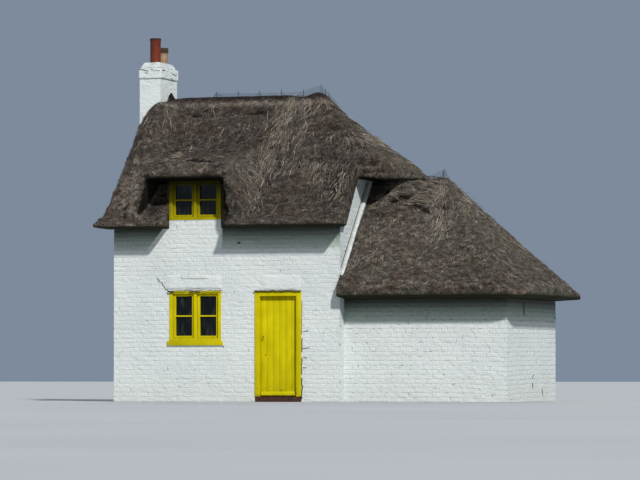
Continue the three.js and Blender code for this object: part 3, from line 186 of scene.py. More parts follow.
# Along which axis it wanders, how far, and from what share of the patch's half size
PATCH_EDGES = ((0, 0.011, 0.95), (2, 0.009, 0.9))
PATCH_RELIEF = [(0.16, 0.006), (0.04, 0.003)]
FILLET_VOXEL, FILLET_RELIEF = 0.014, [(0.16, 0.014), (0.05, 0.01)]
CHIMNEY_VOXEL = 0.016
BAND_RELIEF, HAUNCHING_RELIEF = [(0.2, 0.012), (0.05, 0.008)], [(0.15, 0.02), (0.05, 0.014)]
POT_SIDES, POT_RELIEF = 40, [(0.09, 0.004)]
CRACK_STEP = 0.045  # how often a crack changes its way

# Joinery and netting
BOARD_GAP = 0.003  # between two boards of the door
BACKING_SUNK = Vector((0.002, 0.008, 0.002))
GAP_LINE, DOOR_GAP_LINE = 0.0038, 0.0055  # half the width of the painted shade lines in the gaps round casements and door
GAP_PROUD, DOOR_GAP_PROUD = 0.002, 0.008  # and how far these stand out of the faces
DOOR_GAP_FROM = 0.12
SILL_GAP_SUNK, SILL_GAP_SHORT = 0.025, 0.04  # how far it lies in and ends short
JOINERY_EDGE, DOOR_FRAME_EDGE, BOARD_EDGE = 0.004, 0.005, 0.003  # how wide worn edges are
SILL_HEIGHT = 0.084
FRAMES_PROUD = 0.035  # how far the frames have been packed out of the wall
FRAME_FACES = 1.72  # the frames' outer faces lie further than this from the middle of the house
SILL_FACE = 1.78  # and the sills' outer faces further than this
SILL_BACK = -0.013
WIRE_RADIUS = 0.0024
WIRE_PITCH = 0.05
EDGE_WIRE = 0.006
PIN_RADIUS = 0.008
NET_REACH = {"house": 0.0, "wing": 0.22}  # how far the wires reach left of the solid net
NET_END = 0.01  # its points this near to its left end move with them
CUTTER_THICKNESS = 4  # times the net's own, to cut whole wires
WIRE_LENGTH = 1.6  # times the net's height, enough for the slant


# Selecting, making and finishing pieces

def select_only(piece):
    bpy.ops.object.select_all(action="DESELECT")
    piece.select_set(True)
    bpy.context.view_layer.objects.active = piece


def apply_modifier(piece, kind, **settings):
    """Adds a modifier with these settings and applies it."""
    select_only(piece)
    modifier = piece.modifiers.new(kind.title(), kind)
    for key, value in settings.items():
        setattr(modifier, key, value)
    bpy.ops.object.modifier_apply(modifier=modifier.name)


def repeat(piece, count, step):
    """Repeats a piece, each copy moved on by the same step."""
    apply_modifier(
        piece, "ARRAY", count=count, use_relative_offset=False, use_constant_offset=True,
        constant_offset_displace=step,
    )


def cut_to(piece, cutter):
    """Keeps what lies inside the cutter, and takes the cutter away."""
    apply_modifier(piece, "BOOLEAN", operation="INTERSECT", solver="MANIFOLD", object=cutter)
    bpy.data.objects.remove(cutter)


def apply_place(piece):
    select_only(piece)
    bpy.ops.object.transform_apply(location=True, rotation=True, scale=True)


def add_object(name, data):
    made = bpy.data.objects.new(name, data)
    bpy.context.scene.collection.objects.link(made)
    return made


def copy_piece(piece, name):
    return add_object(name, piece.data.copy())


def join_pieces(pieces, name):
    select_only(pieces[0])
    for piece in pieces[1:]:
        piece.select_set(True)
    if len(pieces) > 1:
        bpy.ops.object.join()
    joined = bpy.context.view_layer.objects.active
    joined.name = name
    joined.data.name = name
    return joined


def edit_whole(piece):
    """Enters edit mode with all of a piece selected."""
    select_only(piece)
    bpy.ops.object.mode_set(mode="EDIT")
    bpy.ops.mesh.select_mode(type="VERT")
    bpy.ops.mesh.select_all(action="SELECT")


def leave_edit():
    bpy.ops.object.mode_set(mode="OBJECT")


def merged_copy(name, node):
    """A copy of a CAD node whose loose triangles are merged into closed faces."""
    piece = copy_piece(NODES[node], name)
    piece.data.materials.clear()
    select_only(piece)
    bpy.ops.mesh.customdata_custom_splitnormals_clear()
    edit_whole(piece)
    bpy.ops.mesh.remove_doubles(threshold=0.00005)
    bpy.ops.mesh.tris_convert_to_quads()
    leave_edit()
    return piece


def merged_copies(name, nodes):
    return join_pieces([merged_copy(name, node) for node in nodes], name)


def add_shape(name, operator, place, scale=(1, 1, 1), **settings):
    """The primitive that this operator adds, with its place applied."""
    bpy.ops.object.select_all(action="DESELECT")
    operator(location=place, **settings)
    piece = bpy.context.object
    piece.name = name
    piece.scale = scale
    apply_place(piece)
    return piece


def add_box(name, low, high):
    """A box between two corners, as the start of a piece."""
    low, high = Vector(low), Vector(high)
    return add_shape(name, bpy.ops.mesh.primitive_cube_add, (low + high) / 2, high - low, size=1)


def select_faces(piece, test):
    """Enters edit mode with the faces selected that pass a test of centre and normal."""
    select_only(piece)
    bpy.ops.object.mode_set(mode="EDIT")
    bpy.ops.mesh.select_mode(type="FACE")
    bpy.ops.mesh.select_all(action="DESELECT")
    leave_edit()
    for face in piece.data.polygons:
        face.select = test(face.center, face.normal)
    bpy.ops.object.mode_set(mode="EDIT")


def smooth(piece, angle=None):
    select_only(piece)
    if angle is None:
        bpy.ops.object.shade_smooth()
    else:
        bpy.ops.object.shade_smooth_by_angle(angle=math.radians(angle))


def points_of(piece, field="co"):
    """The places of a piece's points, or their normals."""
    values = np.empty(len(piece.data.vertices) * 3, np.float32)
    piece.data.vertices.foreach_get(field, values)
    return values.reshape(-1, 3)


def held(values):
    """The values, held between 0 and 1."""
    return np.clip(values, 0.0, 1.0)


def place_points(piece, values):
    piece.data.vertices.foreach_set("co", np.ascontiguousarray(values, np.float32).ravel())
    piece.data.update()


def store(piece, name, values, kind="FLOAT"):
    """Keeps a value for each point of a piece, for its straws and its material."""
    attribute = piece.data.attributes.new(name, kind, "POINT")
    field = "value" if kind == "FLOAT" else "vector"
    attribute.data.foreach_set(field, np.ascontiguousarray(values, np.float32).ravel())


def roughen(piece, relief, **settings):
    """Moves the surface in and out by cloud noise of each size in the relief."""
    for size, depth in relief:
        texture = bpy.data.textures.new(f"{piece.name} {size:g}", "CLOUDS")
        texture.noise_scale = size
        texture.noise_depth = 2
        apply_modifier(
            piece, "DISPLACE", texture=texture, strength=depth, mid_level=0.5, **settings
        )


def soften(piece, voxel, share):
    """Remakes a piece in voxels of this size, and smooths its edges by this share."""
    apply_modifier(piece, "REMESH", mode="VOXEL", voxel_size=voxel)
    apply_modifier(piece, "SMOOTH", factor=share, iterations=2)


def strand(name, points, radius):
    """A thin round strip through these points, closed at its ends."""
    curve = bpy.data.curves.new(name, "CURVE")
    curve.dimensions = "3D"
    curve.bevel_depth = radius
    curve.bevel_resolution = 1
    curve.use_fill_caps = True
    spline = curve.splines.new("POLY")
    spline.points.add(len(points) - 1)
    for point, place in zip(spline.points, points):
        point.co = (*place, 1.0)
    select_only(add_object(name, curve))
    bpy.ops.object.convert(target="MESH")
    return bpy.context.view_layer.objects.active


def finish_piece(piece, material, body="house", replaces=()):
    piece.data.materials.clear()
    piece.data.materials.append(material)
    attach(piece, body)
    if replaces:
        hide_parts(*replaces)


# Shader nodes

def add_node(tree, kind, inputs=None, **settings):
    """A node with its settings, and its inputs by name or number: a value or a socket."""
    made = tree.nodes.new(kind)
    for key, value in settings.items():
        setattr(made, key, value)
    for key, value in (inputs or {}).items():
        if isinstance(value, bpy.types.NodeSocket):
            tree.links.new(value, made.inputs[key])
        else:
            socket = made.inputs[key]
            socket.default_value = (*value, 1.0) if socket.type == "RGBA" else value
    return made


def new_material(name):
    material = bpy.data.materials.new(name)
    material.use_nodes = True
    material.node_tree.nodes.clear()
    return material, material.node_tree


def object_place(tree):
    return add_node(tree, "ShaderNodeTexCoord").outputs["Object"]


def object_axes(tree):
    return add_node(tree, "ShaderNodeSeparateXYZ", {0: object_place(tree)}).outputs


def noise(tree, size, detail=4, roughness=0.55, stretch=(1, 1, 1)):
    """Noise whose grains are about `size` metres, longer along axes of low stretch."""
    scaled = add_node(tree, "ShaderNodeMapping", {"Vector": object_place(tree), "Scale": stretch})
    return add_node(tree, "ShaderNodeTexNoise", {
        "Vector": scaled.outputs[0], "Scale": 1 / size, "Detail": detail, "Roughness": roughness,
    }).outputs["Fac"]


def share_between(tree, value, start, end):
    """0 where the value is `start`, 1 where it is `end`, and held beyond them."""
    inputs = {"Value": value, "From Min": start, "From Max": end}
    return add_node(tree, "ShaderNodeMapRange", inputs).outputs[0]


def height_share(tree, low, high):
    return share_between(tree, object_axes(tree)["Z"], low, high)


def own_value(tree, name):
    """A value that a piece keeps for each of its points."""
    return add_node(tree, "ShaderNodeAttribute", attribute_name=name).outputs["Fac"]


def ramp(tree, factor, stops):
    """Greys or colours by the factor."""
    made = add_node(tree, "ShaderNodeValToRGB", {"Fac": factor})
    elements = made.color_ramp.elements
    while len(elements) < len(stops):
        elements.new(0.5)
    for element, (position, colour) in zip(elements, stops):
        element.position = position
        element.color = (*colour, 1.0) if hasattr(colour, "__len__") else (colour,) * 3 + (1.0,)
    return made.outputs["Color"]


def blend(tree, factor, a, b, mode="MIX"):
    inputs = {0: factor, 6: a, 7: b}
    return add_node(tree, "ShaderNodeMix", inputs, data_type="RGBA", blend_type=mode).outputs[2]


def stain(tree, colour, factor, stops, tint):
    """Lays a tint over a colour, as strongly as the ramp of the factor says."""
    return blend(tree, ramp(tree, factor, stops), colour, tint)


def arithmetic(tree, operation, a, b=0.0, clamp=False):
    return add_node(
        tree, "ShaderNodeMath", {0: a, 1: b}, operation=operation, use_clamp=clamp
    ).outputs[0]


def bump(tree, height, distance, strength=1.0, normal=None):
    inputs = {"Height": height, "Distance": distance, "Strength": strength}
    if normal is not None:
        inputs["Normal"] = normal
    return add_node(tree, "ShaderNodeBump", inputs).outputs[0]


def surface(material, colour, roughness, normal=None, gloss=0.5, metal=0.0, clear=0.0):
    """Finishes a material: gloss is the specular level, clear the share of light that passes."""
    inputs = {
        "Base Color": colour, "Roughness": roughness, "Metallic": metal,
        "Specular IOR Level": gloss, "Transmission Weight": clear,
    }
    if normal is not None:
        inputs["Normal"] = normal
    shader = add_node(material.node_tree, "ShaderNodeBsdfPrincipled", inputs)
    add_node(material.node_tree, "ShaderNodeOutputMaterial", {"Surface": shader.outputs[0]})
    return material


# Thatch finishes

# Painted shade, dark green, on the thatch's undersides
UNDERSIDE_SHADE = (0.024, 0.026, 0.013)
# Painted shade, near black, in the partings and under the hood
PARTING_SHADE = (0.008, 0.006, 0.005)
THATCH_TONES = [
    (0.0, (0.016, 0.012, 0.01)), (0.3, (0.042, 0.033, 0.028)), (0.6, (0.08, 0.067, 0.056)),
    (0.85, (0.13, 0.112, 0.093)), (1.0, (0.215, 0.188, 0.155)),
]
THATCH_TINTS = [
    (0.34, (0.97, 0.84, 0.77)), (0.48, (1.0, 0.96, 0.92)), (0.58, (0.99, 0.99, 0.97)),
    (0.68, (1.04, 1.03, 0.88)),
]
# Lighter and greener where `worn`: worn straw, and on the hips painted sunlight as well
WORN_AND_SUNLIT_TINT = (1.42, 1.5, 1.46)
STRAY_TONES = [
    (0.0, (0.06, 0.051, 0.043)), (0.45, (0.2, 0.175, 0.145)), (0.8, (0.36, 0.315, 0.25)),
    (1.0, (0.56, 0.49, 0.38)),
]
TONE_SHIFT = 0.26  # how much a shade of 1 shifts the tone
TONE_RANGE = [(0.385, 0.0), (0.615, 1.0)]


def downhill_noise(tree, size, across, along, detail, roughness):
    """Noise drawn out down the front and back slopes, and down the hips where `hipped`."""
    front, side = (
        noise(tree, size, detail, roughness, stretch)
        for stretch in ((across, along, along), (along, across, along))
    )
    return blend(tree, own_value(tree, "hipped"), front, side)


def clump_tone(tree):
    """Light and dark clumps and, finer, the straws' grain down the slope."""
    grain = downhill_noise(tree, 0.026, 1.1, 0.6, 5, 0.7)
    layers = downhill_noise(tree, 0.085, 0.7, 1.0, 4, 0.65)
    both = arithmetic(tree, "MULTIPLY", arithmetic(tree, "ADD", grain, layers), 0.5)
    shift = arithmetic(tree, "MULTIPLY", own_value(tree, "shade"), TONE_SHIFT)
    return ramp(tree, arithmetic(tree, "ADD", both, shift), TONE_RANGE)


def weathered_thatch(tree, tone):
    """Thatch colours by tone, in broad patches of brown, grey and green."""
    tint = ramp(tree, noise(tree, 0.62, roughness=0.6), THATCH_TINTS)
    straw = blend(tree, 1.0, ramp(tree, tone, THATCH_TONES), tint, "MULTIPLY")
    # the lighter tint is partly wear and, on the hips, painted sunlight
    worn = blend(tree, 1.0, straw, WORN_AND_SUNLIT_TINT, "MULTIPLY")
    return blend(tree, own_value(tree, "worn"), straw, worn)


def coat_material():
    material, tree = new_material("thatch coat")
    tone = clump_tone(tree)
    colour = weathered_thatch(tree, tone)
    # painted shade on the undersides, then near black in the partings and under the hood
    colour = blend(tree, own_value(tree, "under"), colour, UNDERSIDE_SHADE)
    colour = blend(tree, own_value(tree, "parted"), colour, PARTING_SHADE)
    return surface(material, colour, 0.95, bump(tree, tone, 0.016), gloss=0.1)


def straw_material():
    material, tree = new_material("weathered straw")
    tone = blend(tree, 0.5, clump_tone(tree), own_value(tree, "tone"))
    return surface(material, weathered_thatch(tree, tone), 0.8, gloss=0.2)


def stray_material():
    material, tree = new_material("bleached straw")
    grey = ramp(tree, own_value(tree, "tone"), STRAY_TONES)
    warm = ramp(tree, noise(tree, 0.3, detail=2), [(0.4, (1, 1, 1)), (0.7, (1.08, 0.98, 0.86))])
    return surface(material, blend(tree, 1.0, grey, warm, "MULTIPLY"), 0.75, gloss=0.25)


# Thatch shapes

def spread_eaves(coat):
    """Draws the wing's eaves further out, as the old thatch has slumped."""
    place = points_of(coat)
    x, y, _ = place.T
    (_, right), (front, back) = EAVES["wing"]
    y -= WING_LIP * held((front + LIP_DEPTH - y) / LIP_DEPTH)
    y += WING_LIP * held((y - back + LIP_DEPTH) / LIP_DEPTH)
    x += WING_LIP * held((x - right + LIP_DEPTH) / LIP_DEPTH)
    place_points(coat, place)


def straighten_ridge(coat):
    """Draws the top of the house's roof to a level line between the chimney and the knot."""
    place = points_of(coat)
    x, y, z = place.T
    left, right = STRAIGHT_RIDGE
    stretches = np.arange(left - RIDGE_FADE, right + RIDGE_FADE, RIDGE_STEP)
    tops = [
        z[(x >= start) & (x < start + RIDGE_STEP) & (np.abs(y) < RIDGE_HALF)].max()
        for start in stretches
    ]
    top = np.interp(x, stretches + RIDGE_STEP / 2, tops)
    along = held((x - left) / RIDGE_FADE + 1)
    along *= held((right - x) / RIDGE_FADE + 1)
    aside = held(1.0 - np.abs(y) / RIDGE_SLOPES)
    z += (RIDGE_TOP - top) * along * aside * (z > RIDGES["house"] - RIDGE_SLOPES)
    place_points(coat, place)


def thatch_coat(name, roof, nodes):
    """The slopes of one roof as one soft coat: its edges rounded, its faces uneven."""
    coat = merged_copies(name, nodes)
    if roof == "wing":
        spread_eaves(coat)
    soften(coat, COAT_VOXEL, 0.6)
    # The relief fades on undersides and towards the ridge
    facing_up = held(points_of(coat, "normal")[:, 2] * 2.2 + 0.55)
    below_ridge = (RIDGES[roof] - points_of(coat)[:, 2]) / FULL_RELIEF
    under_ridge = np.clip(below_ridge, RIDGE_RELIEF, 1.0)
    group = coat.vertex_groups.new(name="weathered")
    for index, weight in enumerate((facing_up * under_ridge).tolist()):
        group.add([index], weight, "REPLACE")
    roughen(coat, COAT_RELIEF, vertex_group="weathered")
    if roof == "house":
        straighten_ridge(coat)
    return coat


def patch_shares(place, patches):
    """For each patch, how strongly each point belongs to it."""
    for x, z, wide, high, strength in patches:
        away = ((place[:, 0] - x) / wide) ** 2 + ((place[:, 2] - z) / high) ** 2
        yield strength * np.exp(-away)


def near_partings(place, normal, partings):
    """How deep each point lies in the nearest parting, 0 to 1, measured along the thatch."""
    depth = np.zeros(len(place))
    flat = place[:, [0, 2]]
    seen = np.sqrt(np.clip(1.0 - normal[:, [0, 2]] ** 2, LEAST_SEEN, 1.0)) / SEEN_SLOPE
    for x0, z0, x1, z1, half in partings:
        start, run = np.array((x0, z0)), np.array((x1 - x0, z1 - z0))
        share = held((flat - start) @ run / (run @ run))
        away = np.linalg.norm((flat - start - share[:, None] * run) / seen, axis=1)
        depth = np.maximum(depth, held(PARTING_FADE - away / half))
    return depth


def near_tangle(place):
    """1 within the tangled thatch under the nose, 0 well outside it."""
    share = np.ones(len(place))
    for axis, (low, high) in zip((0, 2), TANGLE):
        share *= held((place[:, axis] - low) / TANGLE_EDGE)
        share *= held((high - place[:, axis]) / TANGLE_EDGE)
    return share


def mark_coat(coat, roof):
    """Opens the partings, and stores where straws grow, how they fall and how they look."""
    place, normal = points_of(coat), points_of(coat, "normal")
    upward = normal[:, 2]
    parted = near_partings(place, normal, PARTINGS[roof]) * (upward > PARTED_ABOVE)
    place = place - normal * (parted * PARTING_DEPTH)[:, None]
    place_points(coat, place)
    x, y, z = place.T
    # Undersides get painted shade; under the hood it is black and is stored with the partings
    under = held((SHADED_BELOW - upward) / SHADED_OVER)
    under *= 1.0 - NOSE_LESS_SHADED * (x > NOSE_MEETS_WING) * (z > WING_RIDGE_LOW)
    hood_shaded = under * (z > HOODS_ABOVE[roof]) * (x < NOSE_MEETS_WING)
    store(coat, "parted", np.maximum(parted, hood_shaded))
    store(coat, "under", under)

    (left, right), (front, back) = EAVES[roof]
    edge = np.minimum.reduce([x - left, right - x, y - front, back - y])
    growing = held((upward - GROWING_ABOVE) / GROWING_OVER)
    growing = growing * held((edge - BARE_EDGE) / EDGE_FADE) * (1.0 - parted)
    middle = (front + back) / 2
    store(coat, "front", growing * (y < middle))
    store(coat, "back", growing * (y >= middle))
    far_in = growing * held((edge - STRAY_EDGE) / STRAY_FADE)
    tangled = near_tangle(place) if roof == "wing" else np.zeros(len(place))
    pale = np.maximum.reduce([TANGLE_PALE * tangled, *patch_shares(place, PALE_PATCHES[roof])])
    store(coat, "pale", (pale + PALE_ANYWHERE) * far_in)
    store(coat, "shade", sum(patch_shares(place, SHADES[roof]), np.zeros(len(place))))

    # The straws lie down the slope, and lengthways where the thatch is tangled
    fall = normal * upward[:, None]
    fall[:, 2] -= 1.0
    fall[:, :2] += normal[:, :2] * 0.2
    fall /= np.maximum(np.linalg.norm(fall, axis=1), 1e-6)[:, None]
    rise = TANGLE_RISE * np.sin(x * TANGLE_WAVES)
    lengthways = np.stack([np.ones(len(x)), np.zeros(len(x)), rise], axis=1)
    fall += (lengthways - fall) * (TANGLE_LENGTHWAYS * tangled)[:, None]
    store(coat, "fall", fall, "FLOAT_VECTOR")
    sideways = np.abs(normal[:, 0]) - np.abs(normal[:, 1])
    # The hips take the worn tint: partly weathered straw, partly painted sunlight
    hipped = held(sideways * 3.0 + 0.5)
    store(coat, "hipped", hipped)
    smoother = np.clip((x - WORN_FROM) / WORN_OVER, 0.0, MOST_WORN[roof])
    store(coat, "worn", np.maximum(hipped, smoother))
    smooth(coat)


def straw_pattern(name, radius, length, bends):
    """One straw, root at the origin and along +Z, three-sided and closed."""
    straw = add_shape(
        name, bpy.ops.mesh.primitive_cone_add, (0, 0, length / 2), vertices=3,
        radius1=radius, radius2=radius * STRAW_TIP if bends else 0.0, depth=length,
    )
    if bends:
        edit_whole(straw)
        bpy.ops.mesh.bisect(plane_co=(0, 0, length / 2), plane_no=(0, 0, 1))
        leave_edit()
        points = points_of(straw)
        points[:, 1] += (points[:, 2] / length) ** 2 * length * STRAW_BEND
        place_points(straw, points)
    return straw


def scatter(name, coat, straw, density, lift, swing, weight, seed):
    """Straws spread over a coat, each lying down the slope, lifted and swung a little."""
    layer = copy_piece(coat, name)
    tree = bpy.data.node_groups.new(name, "GeometryNodeTree")
    tree.interface.new_socket("Coat", in_out="INPUT", socket_type="NodeSocketGeometry")
    tree.interface.new_socket("Straws", in_out="OUTPUT", socket_type="NodeSocketGeometry")

    def made(kind, inputs=None, output=0, **settings):
        return add_node(tree, kind, inputs, **settings).outputs[output]

    def stored(attribute, kind="FLOAT"):
        return made("GeometryNodeInputNamedAttribute", {"Name": attribute}, data_type=kind)

    def random_value(low, high, shift, kind="FLOAT"):
        first, output = (0, 0) if kind == "FLOAT_VECTOR" else (2, 1)
        inputs = {first: low, first + 1: high, 8: seed + shift}
        return made("FunctionNodeRandomValue", inputs, output, data_type=kind)

    often = made("ShaderNodeMath", {0: stored(weight), 1: density}, operation="MULTIPLY")
    points = add_node(
        tree, "GeometryNodeDistributePointsOnFaces",
        {"Mesh": made("NodeGroupInput"), 4: often, "Seed": seed}, distribute_method="RANDOM",
    ).outputs
    down = made(
        "FunctionNodeAlignRotationToVector", {"Vector": stored("fall", "FLOAT_VECTOR")}, axis="Z"
    )
    flat = made(
        "FunctionNodeAlignRotationToVector", {"Rotation": down, "Vector": points["Normal"]},
        axis="Y", pivot_axis="Z",
    )
    turn = random_value(
        (-lift[1], -swing, -math.pi), (-lift[0], swing, math.pi), 1, "FLOAT_VECTOR"
    )
    straws = made("GeometryNodeInstanceOnPoints", {
        "Points": points["Points"],
        "Instance": made("GeometryNodeObjectInfo", {"Object": straw}, "Geometry"),
        "Rotation": made(
            "FunctionNodeRotateRotation", {"Rotation": flat, "Rotate By": turn},
            rotation_space="LOCAL",
        ),
        "Scale": random_value(*STRAW_SCALES, 2),
    })
    toned = made(
        "GeometryNodeStoreNamedAttribute",
        {"Geometry": straws, "Name": "tone", "Value": random_value(0.0, 1.0, 3)},
        data_type="FLOAT", domain="INSTANCE",
    )
    real = made("GeometryNodeRealizeInstances", {"Geometry": toned})
    add_node(tree, "NodeGroupOutput", {0: real})
    apply_modifier(layer, "NODES", node_group=tree)
    for attribute in ("fall", "front", "back", "pale", "parted", "under"):
        if attribute in layer.data.attributes:
            layer.data.attributes.remove(layer.data.attributes[attribute])
    return layer


def thatch_roof(roof):
    """The coat of one roof, the straws on both its sides and its bleached strays."""
    nodes = [f"{roof}_thatch_{slope}" for slope in ("front", "back", "hip")]
    coat = thatch_coat(f"{roof}_thatch_coat", roof, nodes)
    mark_coat(coat, roof)
    straw = straw_pattern("straw", **STRAW, bends=False)
    for side, density in STRAWS_PER_AREA.items():
        straws = scatter(
            f"{roof}_straws_{side}", coat, straw, density * THINNED,
            **STRAW_LIE, weight=side, seed=11,
        )
        finish_piece(straws, STRAWS)
    stray = straw_pattern("stray", **LONG_STRAW, bends=True)
    strays = scatter(
        f"{roof}_stray_straws", coat, stray, STRAYS_PER_AREA,
        **LONG_STRAW_LIE, weight="pale", seed=29,
    )
    finish_piece(strays, STRAYS)
    finish_piece(coat, COAT, replaces=nodes)
    bpy.data.objects.remove(straw)
    bpy.data.objects.remove(stray)


def ridge_tuft(name):
    """A rough tuft of old straw, drawn up to a point at the ridge's end."""
    tuft = add_shape(
        name, bpy.ops.mesh.primitive_cone_add, TUFT_FOOT, vertices=9, depth=TUFT_HEIGHT, **TUFT_RADII
    )
    edit_whole(tuft)
    bpy.ops.mesh.subdivide(number_cuts=5, smoothness=0.0)
    leave_edit()
    roughen(tuft, TUFT_RELIEF)
    for attribute, value in TUFT_LOOK.items():
        store(tuft, attribute, np.full(len(tuft.data.vertices), value))
    smooth(tuft)
    return tuft


# Brickwork

def course(length, start, count, height):
    """A row of bricks from `start` along X, their faces towards -Y, edges drawn in by paint."""
    row = add_box(
        "brick", (JOINT / 2, -BRICK_PROUD, JOINT / 2),
        (length - JOINT / 2, BRICK_ROOT, COURSE - JOINT / 2),
    )
    select_faces(row, lambda centre, normal: normal.y < -0.5)
    bpy.ops.mesh.inset(thickness=BRICK_ROUNDING, depth=0.0)
    bpy.ops.transform.translate(value=(0, -BRICK_CROWN, 0))
    leave_edit()
    repeat(row, count, (length, 0, 0))
    row.location = (start, 0, height)
    apply_place(row)
    return row


def brick_field(width, low, high):
    """Courses that cover this width and the heights from low to high: garden wall bond."""
    count = math.ceil(width / BRICK_PITCH) + 2
    rows = [
        course(BRICK_PITCH, -BRICK_PITCH * (0.5 + (i % 2) * 0.5), count, i * COURSE)
        for i in range(COURSES_IN_BOND - 1)
    ]
    top = (COURSES_IN_BOND - 1) * COURSE
    rows.append(course(BRICK_PITCH / 2, -BRICK_PITCH * 0.75, 2 * count, top))
    field = join_pieces(rows, "field")
    rise = COURSES_IN_BOND * COURSE
    first = math.floor(low / rise)
    repeat(field, math.ceil(high / rise) - first, (0, 0, rise))
    field.location = (0, 0, first * rise)
    apply_place(field)
    return field


SIDES = {  # the way that each face of the building looks, and its turn from the front
    "front": (Vector((0, -1, 0)), 0),
    "right": (Vector((1, 0, 0)), math.pi / 2),
    "back": (Vector((0, 1, 0)), math.pi),
    "left": (Vector((-1, 0, 0)), -math.pi / 2),
}


def brick_skin(name, side, nodes, from_height=0.0, sunk=0.0):
    """Brick faces over the walls' outer face on one side, cut to the walls' outline."""
    out, turn = SIDES[side]
    along = Vector((-out.y, out.x, 0))
    parts = []
    for node in nodes:
        low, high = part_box(node)
        start = min(low.dot(along), high.dot(along))
        width = abs((high - low).dot(along))
        plane = max(low.dot(out), high.dot(out)) - sunk
        field = brick_field(width + 2 * BRICK_PITCH, max(low.z, from_height), high.z)
        field.rotation_euler = (0, 0, turn)
        steps = math.floor(start / BRICK_PITCH)
        field.location = along * (steps * BRICK_PITCH) + out * plane
        apply_place(field)
        cutter = merged_copy("cutter", node)
        select_faces(
            cutter, lambda centre, normal: abs(centre.dot(out) - plane - sunk) < SAME_PLANE
        )
        bpy.ops.transform.translate(value=out * CUT_DEPTH)
        leave_edit()
        cut_to(field, cutter)
        parts.append(field)
    skin = join_pieces(parts, name)
    roughen(skin, BRICK_RELIEF)
    return skin


def sink_corner(skin, side):
    """Lets the courses sink towards the wing's front corner, most at their foot."""
    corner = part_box("wing_front_wall")[1]
    place = points_of(skin)
    x, y, z = place.T
    away = corner.x - x if side == "front" else y - WING_FACE
    share = held(1.0 - away / SAG_REACH[side]) ** 2
    z -= SAG * share * held(1.0 - z / corner.z)
    np.maximum(z, LOWEST, out=z)
    place_points(skin, place)


def plaster_patch(name, low, high, seed):
    """A smooth rendered patch over the bricks, with a ragged outline that thins away."""
    patch = add_box(name, low, high)
    edit_whole(patch)
    bpy.ops.mesh.subdivide(number_cuts=15)
    leave_edit()
    place = points_of(patch)
    middle = (np.array(low) + np.array(high)) / 2
    half = (np.array(high) - np.array(low)) / 2
    across = (place - middle) / half
    swapped = place[:, [2, 1, 0]] + np.array([seed * 3.1, 0.0, seed * 1.7])
    wander = sum(np.sin(swapped * often) for often in PATCH_WAVES)
    for axis, far, edge_from in PATCH_EDGES:
        place[:, axis] += wander[:, axis] * far * (np.abs(across[:, axis]) > edge_from)
    rim = np.max(np.abs(across[:, [0, 2]]), axis=1)
    front = across[:, 1] < 0
    place[front, 1] = low[1] + (high[1] - low[1]) * 0.8 * held((rim[front] - 0.8) / 0.2)
    place_points(patch, place)
    roughen(patch, PATCH_RELIEF)
    smooth(patch, 40)
    return patch


# Wall and joinery finishes

# Painted shade under the eaves: the white walls darken to green-black towards the thatch
EAVES_SHADE_GREEN = (0.026, 0.034, 0.022)
EAVES_SHADE_DEPTH = 0.44
EAVES_SHADE_RAMP = [
    (0.0, 0.0), (0.19, 0.28), (0.37, 0.39), (0.55, 0.57), (0.72, 0.77), (0.9, 0.93), (1.0, 0.98),
]
SHADE_GREEN_TINT, TINT_LEADS = (0.86, 1.0, 0.89), 2.5  # the green tint of the painted shade is stronger, so reaches further
ON_FACES = (WALL_FRONT - 0.04, WALL_FRONT - 0.02)  # the house's painted shade is on its front and back
HOUSE_EAVES, WING_EAVES = 2.86, 1.47  # the painted shade under the eaves, tinted green, begins at these heights
# The sunlit stretch under the upper windows, which gets no painted shade: its left edge leans
# out downwards, its right edge is upright
SUNLIT_LEAN = 0.82
SUNLIT_LEFT, SUNLIT_RIGHT, SUNLIT_EDGE = -5.67, -1.78, 0.03
HOOD_SHADE = (3.45, 4.23)  # the heights between which painted shade darkens the upper windows' paint
HOOD_SHADE_RAMP = [(0.0, 0.15), (0.06, 0.3), (0.22, 0.46), (0.52, 0.6), (0.8, 0.87), (1.0, 0.98)]


def eaves_painted_shade(tree, colour, eaves):
    """Painted shade, tinted green, that begins at this height under the eaves, but not under a window.
    """
    if not eaves:
        return colour
    shade_share = ramp(tree, height_share(tree, eaves, eaves + EAVES_SHADE_DEPTH), EAVES_SHADE_RAMP)
    axes = object_axes(tree)
    lean = arithmetic(tree, "MULTIPLY", axes["Z"], SUNLIT_LEAN)
    left_of_sunlit = share_between(
        tree, arithmetic(tree, "SUBTRACT", axes["X"], lean), SUNLIT_LEFT, SUNLIT_LEFT - SUNLIT_EDGE
    )
    right_of_sunlit = share_between(tree, axes["X"], SUNLIT_RIGHT, SUNLIT_RIGHT + SUNLIT_EDGE)
    beside_sunlit = arithmetic(tree, "MAXIMUM", left_of_sunlit, right_of_sunlit)
    shade_share = arithmetic(tree, "MULTIPLY", shade_share, beside_sunlit)
    if eaves == HOUSE_EAVES:  # its gables get no painted shade
        outward = arithmetic(tree, "ABSOLUTE", axes["Y"])
        shade_share = arithmetic(tree, "MULTIPLY", shade_share, share_between(tree, outward, *ON_FACES))
    tinted = blend(tree, 1.0, colour, SHADE_GREEN_TINT, "MULTIPLY")
    leading = arithmetic(tree, "MULTIPLY", shade_share, TINT_LEADS, clamp=True)
    colour = blend(tree, leading, colour, tinted)
    return blend(tree, shade_share, colour, EAVES_SHADE_GREEN)


